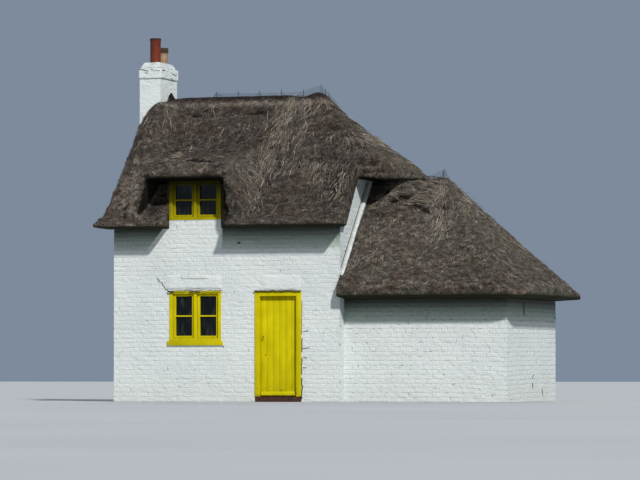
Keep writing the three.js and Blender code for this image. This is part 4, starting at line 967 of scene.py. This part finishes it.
def white_finish(name, low, high, dirty, eaves=None):
    """White masonry paint, a little chalky; `dirty` is how much grime its low places hold."""
    material, tree = new_material(name)
    colour = ramp(tree, noise(tree, 0.9), [(0.3, low), (0.7, high)])
    grime = [(0.22 + 0.08 * dirty, 1.0), (0.3 + 0.08 * dirty, 0.0)]
    colour = stain(tree, colour, noise(tree, 0.02, roughness=0.75), grime, (0.27, 0.27, 0.24))
    stains = noise(tree, 0.35, detail=5, roughness=0.65)
    colour = stain(tree, colour, stains, [(0.56, 0.0), (0.8, 0.5)], (0.56, 0.58, 0.54))
    foot = height_share(tree, 0.0, 0.5)
    colour = stain(tree, colour, foot, [(0.0, 0.28), (1.0, 0.0)], (0.48, 0.5, 0.42))
    # painted shade under the eaves
    colour = eaves_painted_shade(tree, colour, eaves)
    lumps = noise(tree, 0.075, detail=3, roughness=0.6, stretch=(0.55, 0.55, 1.0))
    brushed = noise(tree, 0.012, detail=3, stretch=(0.5, 0.5, 1.6))
    relief = bump(tree, brushed, 0.0018, 0.6, bump(tree, lumps, 0.02))
    return surface(material, colour, 0.62, relief, gloss=0.3)


def joint_paint(name, open_from, eaves=None):
    """The wall behind the brick faces: paint in the joints, with a few open lengths."""
    material, tree = new_material(name)
    worn = noise(tree, 0.1, roughness=0.65)
    opening = [(open_from, 0.0), (open_from + 0.06, 0.9)]
    colour = stain(tree, (0.6, 0.635, 0.62), worn, opening, (0.07, 0.068, 0.06))
    # painted shade under the eaves
    colour = eaves_painted_shade(tree, colour, eaves)
    return surface(material, colour, 0.8, bump(tree, worn, 0.004, 0.7), gloss=0.2)


def yellow_paint(name, hood_shaded=False):
    """Yellow oil paint, brushed and grimy; under the hood, painted shade turns its top black."""
    material, tree = new_material(name)
    cloudy = noise(tree, 0.35)
    colour = ramp(tree, cloudy, [(0.3, (0.5, 0.42, 0.0015)), (0.7, (0.63, 0.53, 0.003))])
    grime = noise(tree, 0.045, detail=5, roughness=0.7)
    colour = stain(tree, colour, grime, [(0.25, 0.8), (0.33, 0.0)], (0.14, 0.1, 0.012))
    streaks = noise(tree, 0.03, stretch=(1.0, 1.0, 0.06))
    colour = stain(tree, colour, streaks, [(0.5, 0.0), (0.75, 0.45)], (0.36, 0.29, 0.004))
    foot = ramp(tree, height_share(tree, 0.08, 0.42), [(0.0, 0.16), (1.0, 0.0)])
    splashed = arithmetic(tree, "ADD", noise(tree, 0.06, roughness=0.7), foot)
    colour = stain(tree, colour, splashed, [(0.66, 0.0), (0.74, 0.6)], (0.1, 0.075, 0.02))
    # painted shade of the thatch hood
    if hood_shaded:
        shaded = height_share(tree, *HOOD_SHADE)
        colour = stain(tree, colour, shaded, HOOD_SHADE_RAMP, (0.004, 0.004, 0.001))
    strokes = bump(tree, noise(tree, 0.01, stretch=(2.0, 2.0, 0.12)), 0.0015, 0.6)
    return surface(material, colour, ramp(tree, cloudy, [(0.3, 0.45), (0.7, 0.6)]), strokes, gloss=0.05)


def window_glass():
    material, tree = new_material("old window glass")
    # The panes are painted near black, the shade of the rooms behind, with faint streaks of painted
    # reflection
    painted_reflections = noise(tree, 0.1, stretch=(1.4, 1.0, 0.35))
    colour = ramp(tree, painted_reflections, [(0.5, (0.004, 0.005, 0.004)), (0.72, (0.03, 0.034, 0.026))])
    waves = bump(tree, noise(tree, 0.22, detail=1), 0.004, 0.25)
    return surface(material, colour, 0.06, waves, gloss=0.3, clear=0.08)


def fired_clay(name, low, high, soot_from, soot_to):
    """Clay that is sooted black from one height up to another."""
    material, tree = new_material(name)
    cloudy = noise(tree, 0.07, detail=6, roughness=0.65)
    colour = ramp(tree, cloudy, [(0.3, low), (0.7, high)])
    uneven = arithmetic(tree, "MULTIPLY", arithmetic(tree, "SUBTRACT", cloudy, 0.5), 0.6)
    reach = arithmetic(tree, "ADD", height_share(tree, soot_from, soot_to), uneven)
    colour = stain(tree, colour, reach, [(0.45, 0.0), (0.75, 0.92)], (0.022, 0.014, 0.01))
    return surface(material, colour, 0.75, bump(tree, cloudy, 0.002, 0.7), gloss=0.25)


def plain_finish(name, low, high, size, relief=None, stops=(0.3, 0.7), grain=None, **settings):
    """Two colours in clouds of this size; relief is the bump's distance and strength."""
    material, tree = new_material(name)
    cloudy = noise(tree, size, **(grain or {}))
    colour = ramp(tree, cloudy, list(zip(stops, (low, high))))
    return surface(material, colour, normal=relief and bump(tree, cloudy, *relief), **settings)


def plain_stone(name, low, high, size, relief):
    grain = {"detail": 6, "roughness": 0.65}
    return plain_finish(name, low, high, size, (relief, 0.8), grain=grain, roughness=0.85, gloss=0.2)


def dark_gap(name):
    return plain_finish(
        name, (0.03, 0.027, 0.02), (0.09, 0.08, 0.06), 0.02, roughness=0.95, gloss=0.1
    )


# Cracks, chimney, joinery and netting

def crack(side, plane, ends, width, wander, seed):
    """A dark crack through these places across and up one side of a wall, wandering a little."""
    out, _ = SIDES[side]
    along = Vector((-out.y, out.x, 0))
    dice = random.Random(seed)
    ends = [Vector((x, plane, z) if side == "front" else (plane, x, z)) for x, z in ends]
    points = []
    for start, end in zip(ends, ends[1:]):
        steps = max(2, round((end - start).length / CRACK_STEP))
        for i in range(steps):
            aside = dice.uniform(-wander, wander), dice.uniform(-wander, wander)
            points.append(start.lerp(end, i / steps) + along * aside[0] + Vector((0, 0, aside[1])))
    return strand("crack", points + ends[-1:], width / 2)


def worn_masonry(name, node, voxel, relief, finish):
    """A node remade with rounded edges and an uneven face."""
    piece = merged_copies(name, [node])
    soften(piece, voxel, 0.5)
    roughen(piece, relief)
    smooth(piece)
    finish_piece(piece, finish, replaces=[node])


def turned_pot(name, node, profile):
    """A round pot over a node: the profile is shares of its radius and of its height."""
    low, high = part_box(node)
    middle, height = (low + high) / 2, high.z - low.z
    first_share, first_level = profile[0]
    pot = add_shape(
        name, bpy.ops.mesh.primitive_circle_add,
        (middle.x, middle.y, low.z + height * first_level),
        vertices=POT_SIDES, radius=(high.x - low.x) / 2 * first_share,
    )
    edit_whole(pot)
    for (share, level), (next_share, next_level) in zip(profile, profile[1:] + profile[:1]):
        rise = (next_level - level) * height
        bpy.ops.mesh.extrude_region_move(TRANSFORM_OT_translate={"value": (0, 0, rise)})
        grow = next_share / share
        bpy.ops.transform.resize(value=(grow, grow, 1))
    bpy.ops.mesh.select_all(action="SELECT")
    bpy.ops.mesh.remove_doubles(threshold=0.0003)
    bpy.ops.mesh.normals_make_consistent(inside=False)
    leave_edit()
    roughen(pot, POT_RELIEF)
    smooth(pot, 40)
    return pot


def draw_out(piece, nearest, farthest, outward, shift):
    """Moves the faces that look out, at a distance between these two from the middle."""
    select_faces(piece, lambda centre, normal: (
        normal.y * outward > 0.9 and nearest < centre.y * outward < farthest
    ))
    bpy.ops.transform.translate(value=(0, outward * shift, 0))
    leave_edit()


def worn_joinery(
    name, nodes, edge, finish, body="house", proud=0.0, outward=-1
):
    """Nodes remade with worn edges; the first one's face is drawn out, its sill in a little."""
    pieces = [merged_copy(name, node) for node in nodes]
    if proud:
        draw_out(pieces[0], FRAME_FACES, SILL_FACE, outward, proud)
        draw_out(pieces[0], SILL_FACE, math.inf, outward, SILL_BACK)
    piece = join_pieces(pieces, name)
    apply_modifier(piece, "BEVEL", width=edge, segments=2, limit_method="ANGLE")
    smooth(piece, 40)
    finish_piece(piece, finish, body, replaces=nodes)


def gap_shade_lines(window, outward):
    """Painted shade lines in the gaps round the two casements of a window and over its sill."""
    lines = []
    for side in ("left", "right"):
        low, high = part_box(f"{window}_window_casement_{side}")
        y = (high.y if outward > 0 else low.y) + outward * GAP_PROUD
        corners = [(low.x, low.z), (high.x, low.z), (high.x, high.z), (low.x, high.z)]
        lines.append(strand("gap", [(x, y, z) for x, z in corners + corners[:1]], GAP_LINE))
    if "lower" in window:
        low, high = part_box(f"{window}_window_frame")
        y = outward * (WALL_FRONT + FRAMES_PROUD - SILL_GAP_SUNK)
        sill = low.z + SILL_HEIGHT
        ends = low.x + SILL_GAP_SHORT, high.x - SILL_GAP_SHORT
        lines.append(strand("gap", [(x, y, sill) for x in ends], GAP_LINE))
    return join_pieces(lines, f"{window}_window_gaps")


def board_door(name, node, count):
    """The leaf as upright boards with open joints, over a thin backing."""
    low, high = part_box(node)
    width = (high.x - low.x) / count
    board = add_box(name, low, (low.x + width - BOARD_GAP, high.y, high.z))
    apply_modifier(board, "BEVEL", width=BOARD_EDGE, segments=2, limit_method="ANGLE")
    repeat(board, count, (width, 0, 0))
    door = join_pieces([board, add_box("backing", low + BACKING_SUNK, high - BACKING_SUNK)], name)
    smooth(door, 40)
    return door


def top_edge(piece, middle):
    """The upper outline of an upright sheet, from left to right."""
    highest = {}
    for x, _, z in points_of(piece).tolist():
        highest[round(x, 3)] = max(z, highest.get(round(x, 3), z))
    return [(x, middle, z) for x, z in sorted(highest.items())]


def wire_net(name, node, pins, reach):
    """Slanting wires cut to a netting node's outline, which reaches further left, with pins."""
    low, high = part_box(node)
    left = low.x + NET_END
    low.x -= reach
    middle, height = (low.y + high.y) / 2, high.z - low.z
    outline = merged_copy("outline", node)
    place = points_of(outline)
    place[place[:, 0] < left, 0] -= reach
    place_points(outline, place)
    edge = top_edge(outline, middle)
    outline.location = (0, (1 - CUTTER_THICKNESS) * middle, 0)
    outline.scale = (1, CUTTER_THICKNESS, 1)
    apply_place(outline)
    layers = []
    for lean, shift in ((math.pi / 4, -WIRE_RADIUS), (-math.pi / 4, WIRE_RADIUS)):
        wire = add_shape(
            "wire", bpy.ops.mesh.primitive_cylinder_add,
            (low.x - height / 2, middle + shift, (low.z + high.z) / 2),
            vertices=4, radius=WIRE_RADIUS, depth=height * WIRE_LENGTH, rotation=(0, lean, 0),
        )
        count = math.ceil((high.x - low.x + height) / WIRE_PITCH) + 1
        repeat(wire, count, (WIRE_PITCH, 0, 0))
        cut_to(wire, copy_piece(outline, "cutter"))
        layers.append(wire)
    bpy.data.objects.remove(outline)
    layers.append(strand("edge", edge, EDGE_WIRE))
    for x, foot, top in pins:
        layers.append(strand("pin", [(x, middle, foot), (x, middle, top)], PIN_RADIUS))
    return join_pieces(layers, name)


# Light and camera

def add_camera():
    data = bpy.data.cameras.new("camera")
    data.lens = CAMERA_LENS
    data.clip_end = 1000
    camera = add_object("camera", data)
    camera.location = CAMERA_PLACE
    camera.rotation_euler = (math.pi / 2 + CAMERA_TILT, 0, CAMERA_TURN)
    bpy.context.scene.camera = camera


def add_sun(name, azimuth, elevation, strength, spread):
    """A soft light from this side of the house."""
    data = bpy.data.lights.new(name, "SUN")
    data.energy = strength
    data.angle = math.radians(spread)
    a, e = math.radians(azimuth), math.radians(elevation)
    to_light = Vector((math.sin(a) * math.cos(e), -math.cos(a) * math.cos(e), math.sin(e)))
    add_object(name, data).rotation_euler = to_light.to_track_quat("Z", "Y").to_euler()


def add_studio():
    bpy.context.scene.view_settings.view_transform = "Standard"
    world = bpy.data.worlds.new("studio")
    bpy.context.scene.world = world
    world.use_nodes = True
    world.node_tree.nodes["Background"].inputs["Color"].default_value = (*BACKDROP, 1.0)
    add_sun("key light", **KEY_LIGHT)
    add_sun("fill light", **FILL_LIGHT)
    floor = add_shape(
        "studio_floor", bpy.ops.mesh.primitive_plane_add, (0, 0, -0.002), size=600
    )
    floor.data.materials.append(plain_finish(
        "pale floor", (0.44,) * 3, (0.47,) * 3, 6.0, grain={"detail": 2}, roughness=0.9, gloss=0.1
    ))


add_camera()
add_studio()

# Thatch

COAT, STRAWS, STRAYS = coat_material(), straw_material(), stray_material()
for roof in ("house", "wing"):
    thatch_roof(roof)
finish_piece(ridge_tuft("ridge_end_tuft"), COAT)

# White walls

PAINT_LOW, PAINT_HIGH = (0.615, 0.64, 0.605), (0.695, 0.72, 0.675)
FRONT_WHITE = white_finish("front paint", PAINT_LOW, PAINT_HIGH, 0.3, HOUSE_EAVES)
WING_WHITE = white_finish("wing paint", PAINT_LOW, PAINT_HIGH, 0.5, WING_EAVES)
# A lighter copy of the walls' white: painted light, so that the side faces read as bright as the front
GABLE_WHITE_PAINTED_LIGHTER = white_finish("gable paint", (0.65, 0.675, 0.65), (0.73, 0.755, 0.72), 0.8)
JOINTS = joint_paint("house joints", 0.6, HOUSE_EAVES)
WING_JOINTS = joint_paint("wing joints", 0.54, WING_EAVES)
FROM_ROOF = 4.9  # the chimney's bricks begin under the thatch
FRONT_WALLS = ["front_wall_left", "front_wall_right", "front_wall_over_door", "door_lintel"]
LEFT_WALLS = ["front_wall_left", "left_gable_front", "chimney_stack", "left_gable_back", "back_wall"]
WING_END_WALLS = ["wing_front_wall", "wing_end_wall", "wing_back_wall"]
SKINS = [
    ("front_bricks", "front", FRONT_WHITE, FRONT_WALLS),
    ("back_bricks", "back", FRONT_WHITE, ["back_wall"]),
    ("left_gable_bricks", "left", GABLE_WHITE_PAINTED_LIGHTER, LEFT_WALLS),
    ("right_gable_bricks", "right", GABLE_WHITE_PAINTED_LIGHTER, ["front_wall_right", "right_gable_over_doorway"]),
    ("wing_front_bricks", "front", WING_WHITE, ["wing_front_wall"]),
    ("wing_end_bricks", "right", WING_WHITE, WING_END_WALLS),
    ("wing_back_bricks", "back", WING_WHITE, ["wing_back_wall"]),
]
for side in ("front", "right", "back"):
    SKINS.append((f"chimney_{side}_bricks", side, GABLE_WHITE_PAINTED_LIGHTER, ["chimney_stack"]))
for name, side, finish, nodes in SKINS:
    on_chimney = name.startswith("chimney")
    sunk = THIN_SKIN if on_chimney or name == "right_gable_bricks" else 0.0
    skin = brick_skin(name, side, nodes, FROM_ROOF if on_chimney else 0.0, sunk)
    if name in ("wing_front_bricks", "wing_end_bricks"):
        sink_corner(skin, side)
    finish_piece(skin, finish)

RENDER = white_finish("smooth render", (0.64, 0.665, 0.63), (0.72, 0.745, 0.7), 0.1)
PATCH_FACE = WALL_FACE - 0.019
PATCHES = {
    "door_head_render": ((-0.985, PATCH_FACE, 2.105), (-0.165, WALL_FACE, 2.405)),
    "window_head_render": ((-2.935, PATCH_FACE, 2.14), (-1.765, WALL_FACE, 2.42)),
    "window_head_ledge": ((-2.63, PATCH_FACE - 0.014, 2.34), (-2.01, WALL_FACE, 2.415)),
}
for seed, (name, (low, high)) in enumerate(PATCHES.items()):
    finish_piece(plaster_patch(name, low, high, seed), RENDER)

FILLET = plain_stone("cement fillet", (0.4, 0.41, 0.38), (0.68, 0.7, 0.68), 0.09, 0.01)
for side in ("front", "back"):
    name, node = f"wing_{side}_cement_fillet", f"wing_fillet_{side}"
    worn_masonry(name, node, FILLET_VOXEL, FILLET_RELIEF, FILLET)

ON_FRONT = WALL_FACE - 0.01
OVER_FRAME = WALL_FACE - FRAMES_PROUD - 0.004
ON_WING_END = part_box("wing_end_wall")[1].x + 0.007
ON_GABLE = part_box("front_wall_right")[1].x + 0.006
ON_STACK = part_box("chimney_band")[0].y - 0.001
STACK_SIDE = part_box("chimney_band")[1].x + 0.001
# The cracks of each face: width, wander, and the places that it runs through, across and up
CRACKS = [
    ("front", OVER_FRAME, [
        (0.014, 0.014, (-2.87, 2.112), (-1.75, 2.106)), (0.024, 0.01, (-2.86, 2.098), (-2.74, 2.092)),
        (0.024, 0.01, (-2.42, 2.098), (-2.2, 2.092)), (0.024, 0.007, (-1.1, 2.098), (-0.163, 2.094)),
    ]),
    ("front", ON_FRONT, [
        (0.009, 0.018, (-3.077, 2.362), (-2.98, 2.23), (-2.871, 2.131)),
        (0.008, 0.004, (-0.15, 1.9), (-0.152, 1.28)), (0.014, 0.008, (-0.148, 1.2), (-0.144, 0.95)),
        (0.014, 0.01, (-0.146, 0.84), (-0.148, 0.52)), (0.018, 0.01, (-0.144, 0.44), (-0.15, 0.06)),
        (0.009, 0.006, (-0.12, 1.33), (-0.02, 1.34)), (0.009, 0.006, (-0.13, 1.01), (0.0, 1.02)),
        (0.009, 0.006, (-0.12, 0.84), (-0.04, 0.83)), (0.009, 0.006, (-0.13, 0.65), (-0.06, 0.65)),
        (0.01, 0.006, (-1.8, 1.1), (-1.72, 1.03)), (0.034, 0.002, (-1.44, 3.013), (-1.4, 3.013)),
    ]),
    ("right", ON_WING_END, [
        (0.012, 0.01, (0.24, 0.52), (0.14, 0.44)), (0.015, 0.01, (0.17, 0.36), (0.18, 0.27)),
        (0.012, 0.01, (0.8, 0.24), (0.86, 0.12)), (0.02, 0.01, (-0.42, 1.86), (-0.38, 1.63)),
    ]),
    ("right", ON_GABLE, [
        (0.018, 0.005, (-1.7, 2.53), (-1.2, 3.08), (-0.6, 3.745), (-0.16, 4.23)),
    ]),
    ("right", ON_WING_END, [(0.03, 0.002, (1.68, 1.61), (1.72, 1.61))]),
    ("front", ON_STACK, [
        (0.012, 0.01, (-4.0, 6.485), (-3.9, 6.465), (-3.8, 6.44)),
        (0.01, 0.01, (-3.76, 6.48), (-3.66, 6.45), (-3.56, 6.445)),
        (0.01, 0.006, (-3.87, 6.41), (-3.8, 6.405)),
    ]),
    ("right", STACK_SIDE, [
        (0.014, 0.008, (-0.4, 6.45), (-0.25, 6.46)),
        (0.012, 0.012, (0.12, 6.42), (0.3, 6.4), (0.36, 6.42)),
        (0.012, 0.01, (0.02, 6.33), (0.2, 6.3)),
    ]),
]
cracks = []
for side, plane, on_face in CRACKS:
    for width, wander, *ends in on_face:
        cracks.append(crack(side, plane, ends, width, wander, seed=len(cracks)))
finish_piece(join_pieces(cracks, "wall_cracks"), dark_gap("open crack"))

# Chimney

worn_masonry(
    "chimney_band_bricks", "chimney_band", CHIMNEY_VOXEL, BAND_RELIEF, GABLE_WHITE_PAINTED_LIGHTER,
)
worn_masonry("chimney_cement", "chimney_haunching", CHIMNEY_VOXEL, HAUNCHING_RELIEF, FILLET)
RED_PROFILE = [
    (1.0, 0.0), (0.95, 0.2), (0.93, 0.9), (1.0, 0.92), (1.0, 0.975), (0.96, 1.0),
    (0.86, 1.0), (0.83, 0.95), (0.83, 0.02),
]
BUFF_PROFILE = [
    (0.9, 0.0), (0.88, 0.2), (0.85, 0.74), (0.98, 0.78), (1.0, 0.93), (0.95, 1.0),
    (0.82, 1.0), (0.78, 0.93), (0.78, 0.02),
]
RED = fired_clay("red clay", (0.115, 0.02, 0.009), (0.185, 0.034, 0.015), 7.0, 7.1)
BUFF = fired_clay("buff clay", (0.22, 0.135, 0.065), (0.44, 0.29, 0.16), 6.78, 6.88)
for colour, profile, finish in (("red", RED_PROFILE, RED), ("buff", BUFF_PROFILE, BUFF)):
    node = f"chimney_pot_{colour}"
    pot = turned_pot(f"{colour}_pot", node, profile)
    finish_piece(pot, finish, replaces=[node])

# Windows and door

YELLOW, HOOD_SHADED_YELLOW = yellow_paint("yellow paint"), yellow_paint("hooded yellow paint", True)
GAP_SHADE = dark_gap("painted gap shade")
IRON = plain_finish(
    "blackened iron", (0.012, 0.011, 0.01), (0.07, 0.03, 0.015), 0.03, (0.001, 0.5), (0.4, 0.75),
    grain={"detail": 6}, roughness=0.55, metal=0.7,
)
WINDOWS = {"front_lower": -1, "front_upper": -1, "back_lower": 1, "back_upper": 1}
for window, outward in WINDOWS.items():
    nodes = [f"{window}_window_{part}" for part in ("frame", "casement_left", "casement_right")]
    paint = HOOD_SHADED_YELLOW if "upper" in window else YELLOW
    worn_joinery(
        f"{window}_window_joinery", nodes, JOINERY_EDGE, paint, proud=FRAMES_PROUD,
        outward=outward,
    )
    finish_piece(gap_shade_lines(window, outward), GAP_SHADE)
worn_joinery(
    "door_frame_joinery", ["door_frame"], DOOR_FRAME_EDGE, YELLOW, proud=FRAMES_PROUD
)
# Painted shade round the door leaf, in the recess of its frame
leaf_low, leaf_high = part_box("door_leaf")
leaf_edge = [
    (leaf_low.x, DOOR_GAP_FROM), (leaf_low.x, leaf_high.z), (leaf_high.x, leaf_high.z),
    (leaf_high.x, DOOR_GAP_FROM),
]
gap_y = leaf_low.y - DOOR_GAP_PROUD
door_gaps = strand("door_gaps", [(x, gap_y, z) for x, z in leaf_edge], DOOR_GAP_LINE)
finish_piece(door_gaps, GAP_SHADE)
boards = board_door("door_boards", "door_leaf", 6)
finish_piece(boards, YELLOW, "door", replaces=["door_leaf"])
RAILS = ["door_ledge_low", "door_ledge_high", "door_weatherboard"]
worn_joinery("door_rails", RAILS, JOINERY_EDGE, YELLOW, body="door")
worn_joinery("door_latch_plate", ["door_latch"], JOINERY_EDGE, YELLOW, "door")
latch_low, latch_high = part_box("door_latch")
latch_x = (latch_low.x + latch_high.x) / 2
THUMB = [(0.004, 1.2), (-0.012, 1.208), (-0.016, 1.225)]  # from the latch's face, height
THUMB_RADIUS, KEYHOLE_RADIUS = 0.009, 0.008
thumb = strand("thumb", [(latch_x, latch_low.y + away, z) for away, z in THUMB], THUMB_RADIUS)
KEYHOLE_X, KEYHOLE_ENDS = -0.905, (0.898, 0.874)
keyhole = strand(
    "keyhole", [(KEYHOLE_X, leaf_low.y - 0.001, z) for z in KEYHOLE_ENDS], KEYHOLE_RADIUS
)
finish_piece(join_pieces([thumb, keyhole], "door_thumb_and_keyhole"), IRON, "door")

# Netting

WIRE = plain_finish(
    "galvanised wire", (0.04, 0.044, 0.05), (0.1, 0.11, 0.125), 0.05, grain={"detail": 3},
    roughness=0.6, metal=0.4,
)
NET_PINS = {  # X, foot and top of each
    "house": [(x, 5.9, 6.04) for x in (-2.55, -2.1, -1.65, -1.2, -0.75, -0.3)],
    "wing": [(2.06, 4.2, 4.42), (1.86, 4.2, 4.33)],
}
for roof, pins in NET_PINS.items():
    node = f"{roof}_ridge_netting"
    net = wire_net(f"{roof}_ridge_wire_net", node, pins, NET_REACH[roof])
    finish_piece(net, WIRE, replaces=[node])

# The frame's own parts that stay in sight

BY_SLOT = {
    "white_brick": JOINTS,
    "render": RENDER,
    "chimney_brick": GABLE_WHITE_PAINTED_LIGHTER,
    "mortar": FILLET,
    "red_clay": RED,
    "buff_clay": BUFF,
    "yellow_paint": YELLOW,
    "window_glass": window_glass(),
    "iron": IRON,
    "wire": WIRE,
    "floor_boards": plain_finish(
        "floor boards", (0.1, 0.06, 0.03), (0.24, 0.15, 0.08), 0.03, (0.002, 0.6),
        grain={"detail": 6, "stretch": (1.0, 0.08, 1.0)}, roughness=0.6,
    ),
    "floor_tiles": plain_stone("floor tiles", (0.13, 0.06, 0.04), (0.24, 0.11, 0.08), 0.3, 0.002),
    "thatch": COAT,
}
BY_NODE = {node: WING_JOINTS for node in WING_END_WALLS}
BY_NODE["door_threshold"] = plain_stone(
    "threshold paint", (0.035, 0.014, 0.01), (0.085, 0.034, 0.024), 0.08, 0.002
)
for part in frame["record"]["subparts"]:
    node = NODES[part["node"]]
    node.data.materials.clear()
    node.data.materials.append(BY_NODE.get(part["node"], BY_SLOT[part["material_slot"]]))
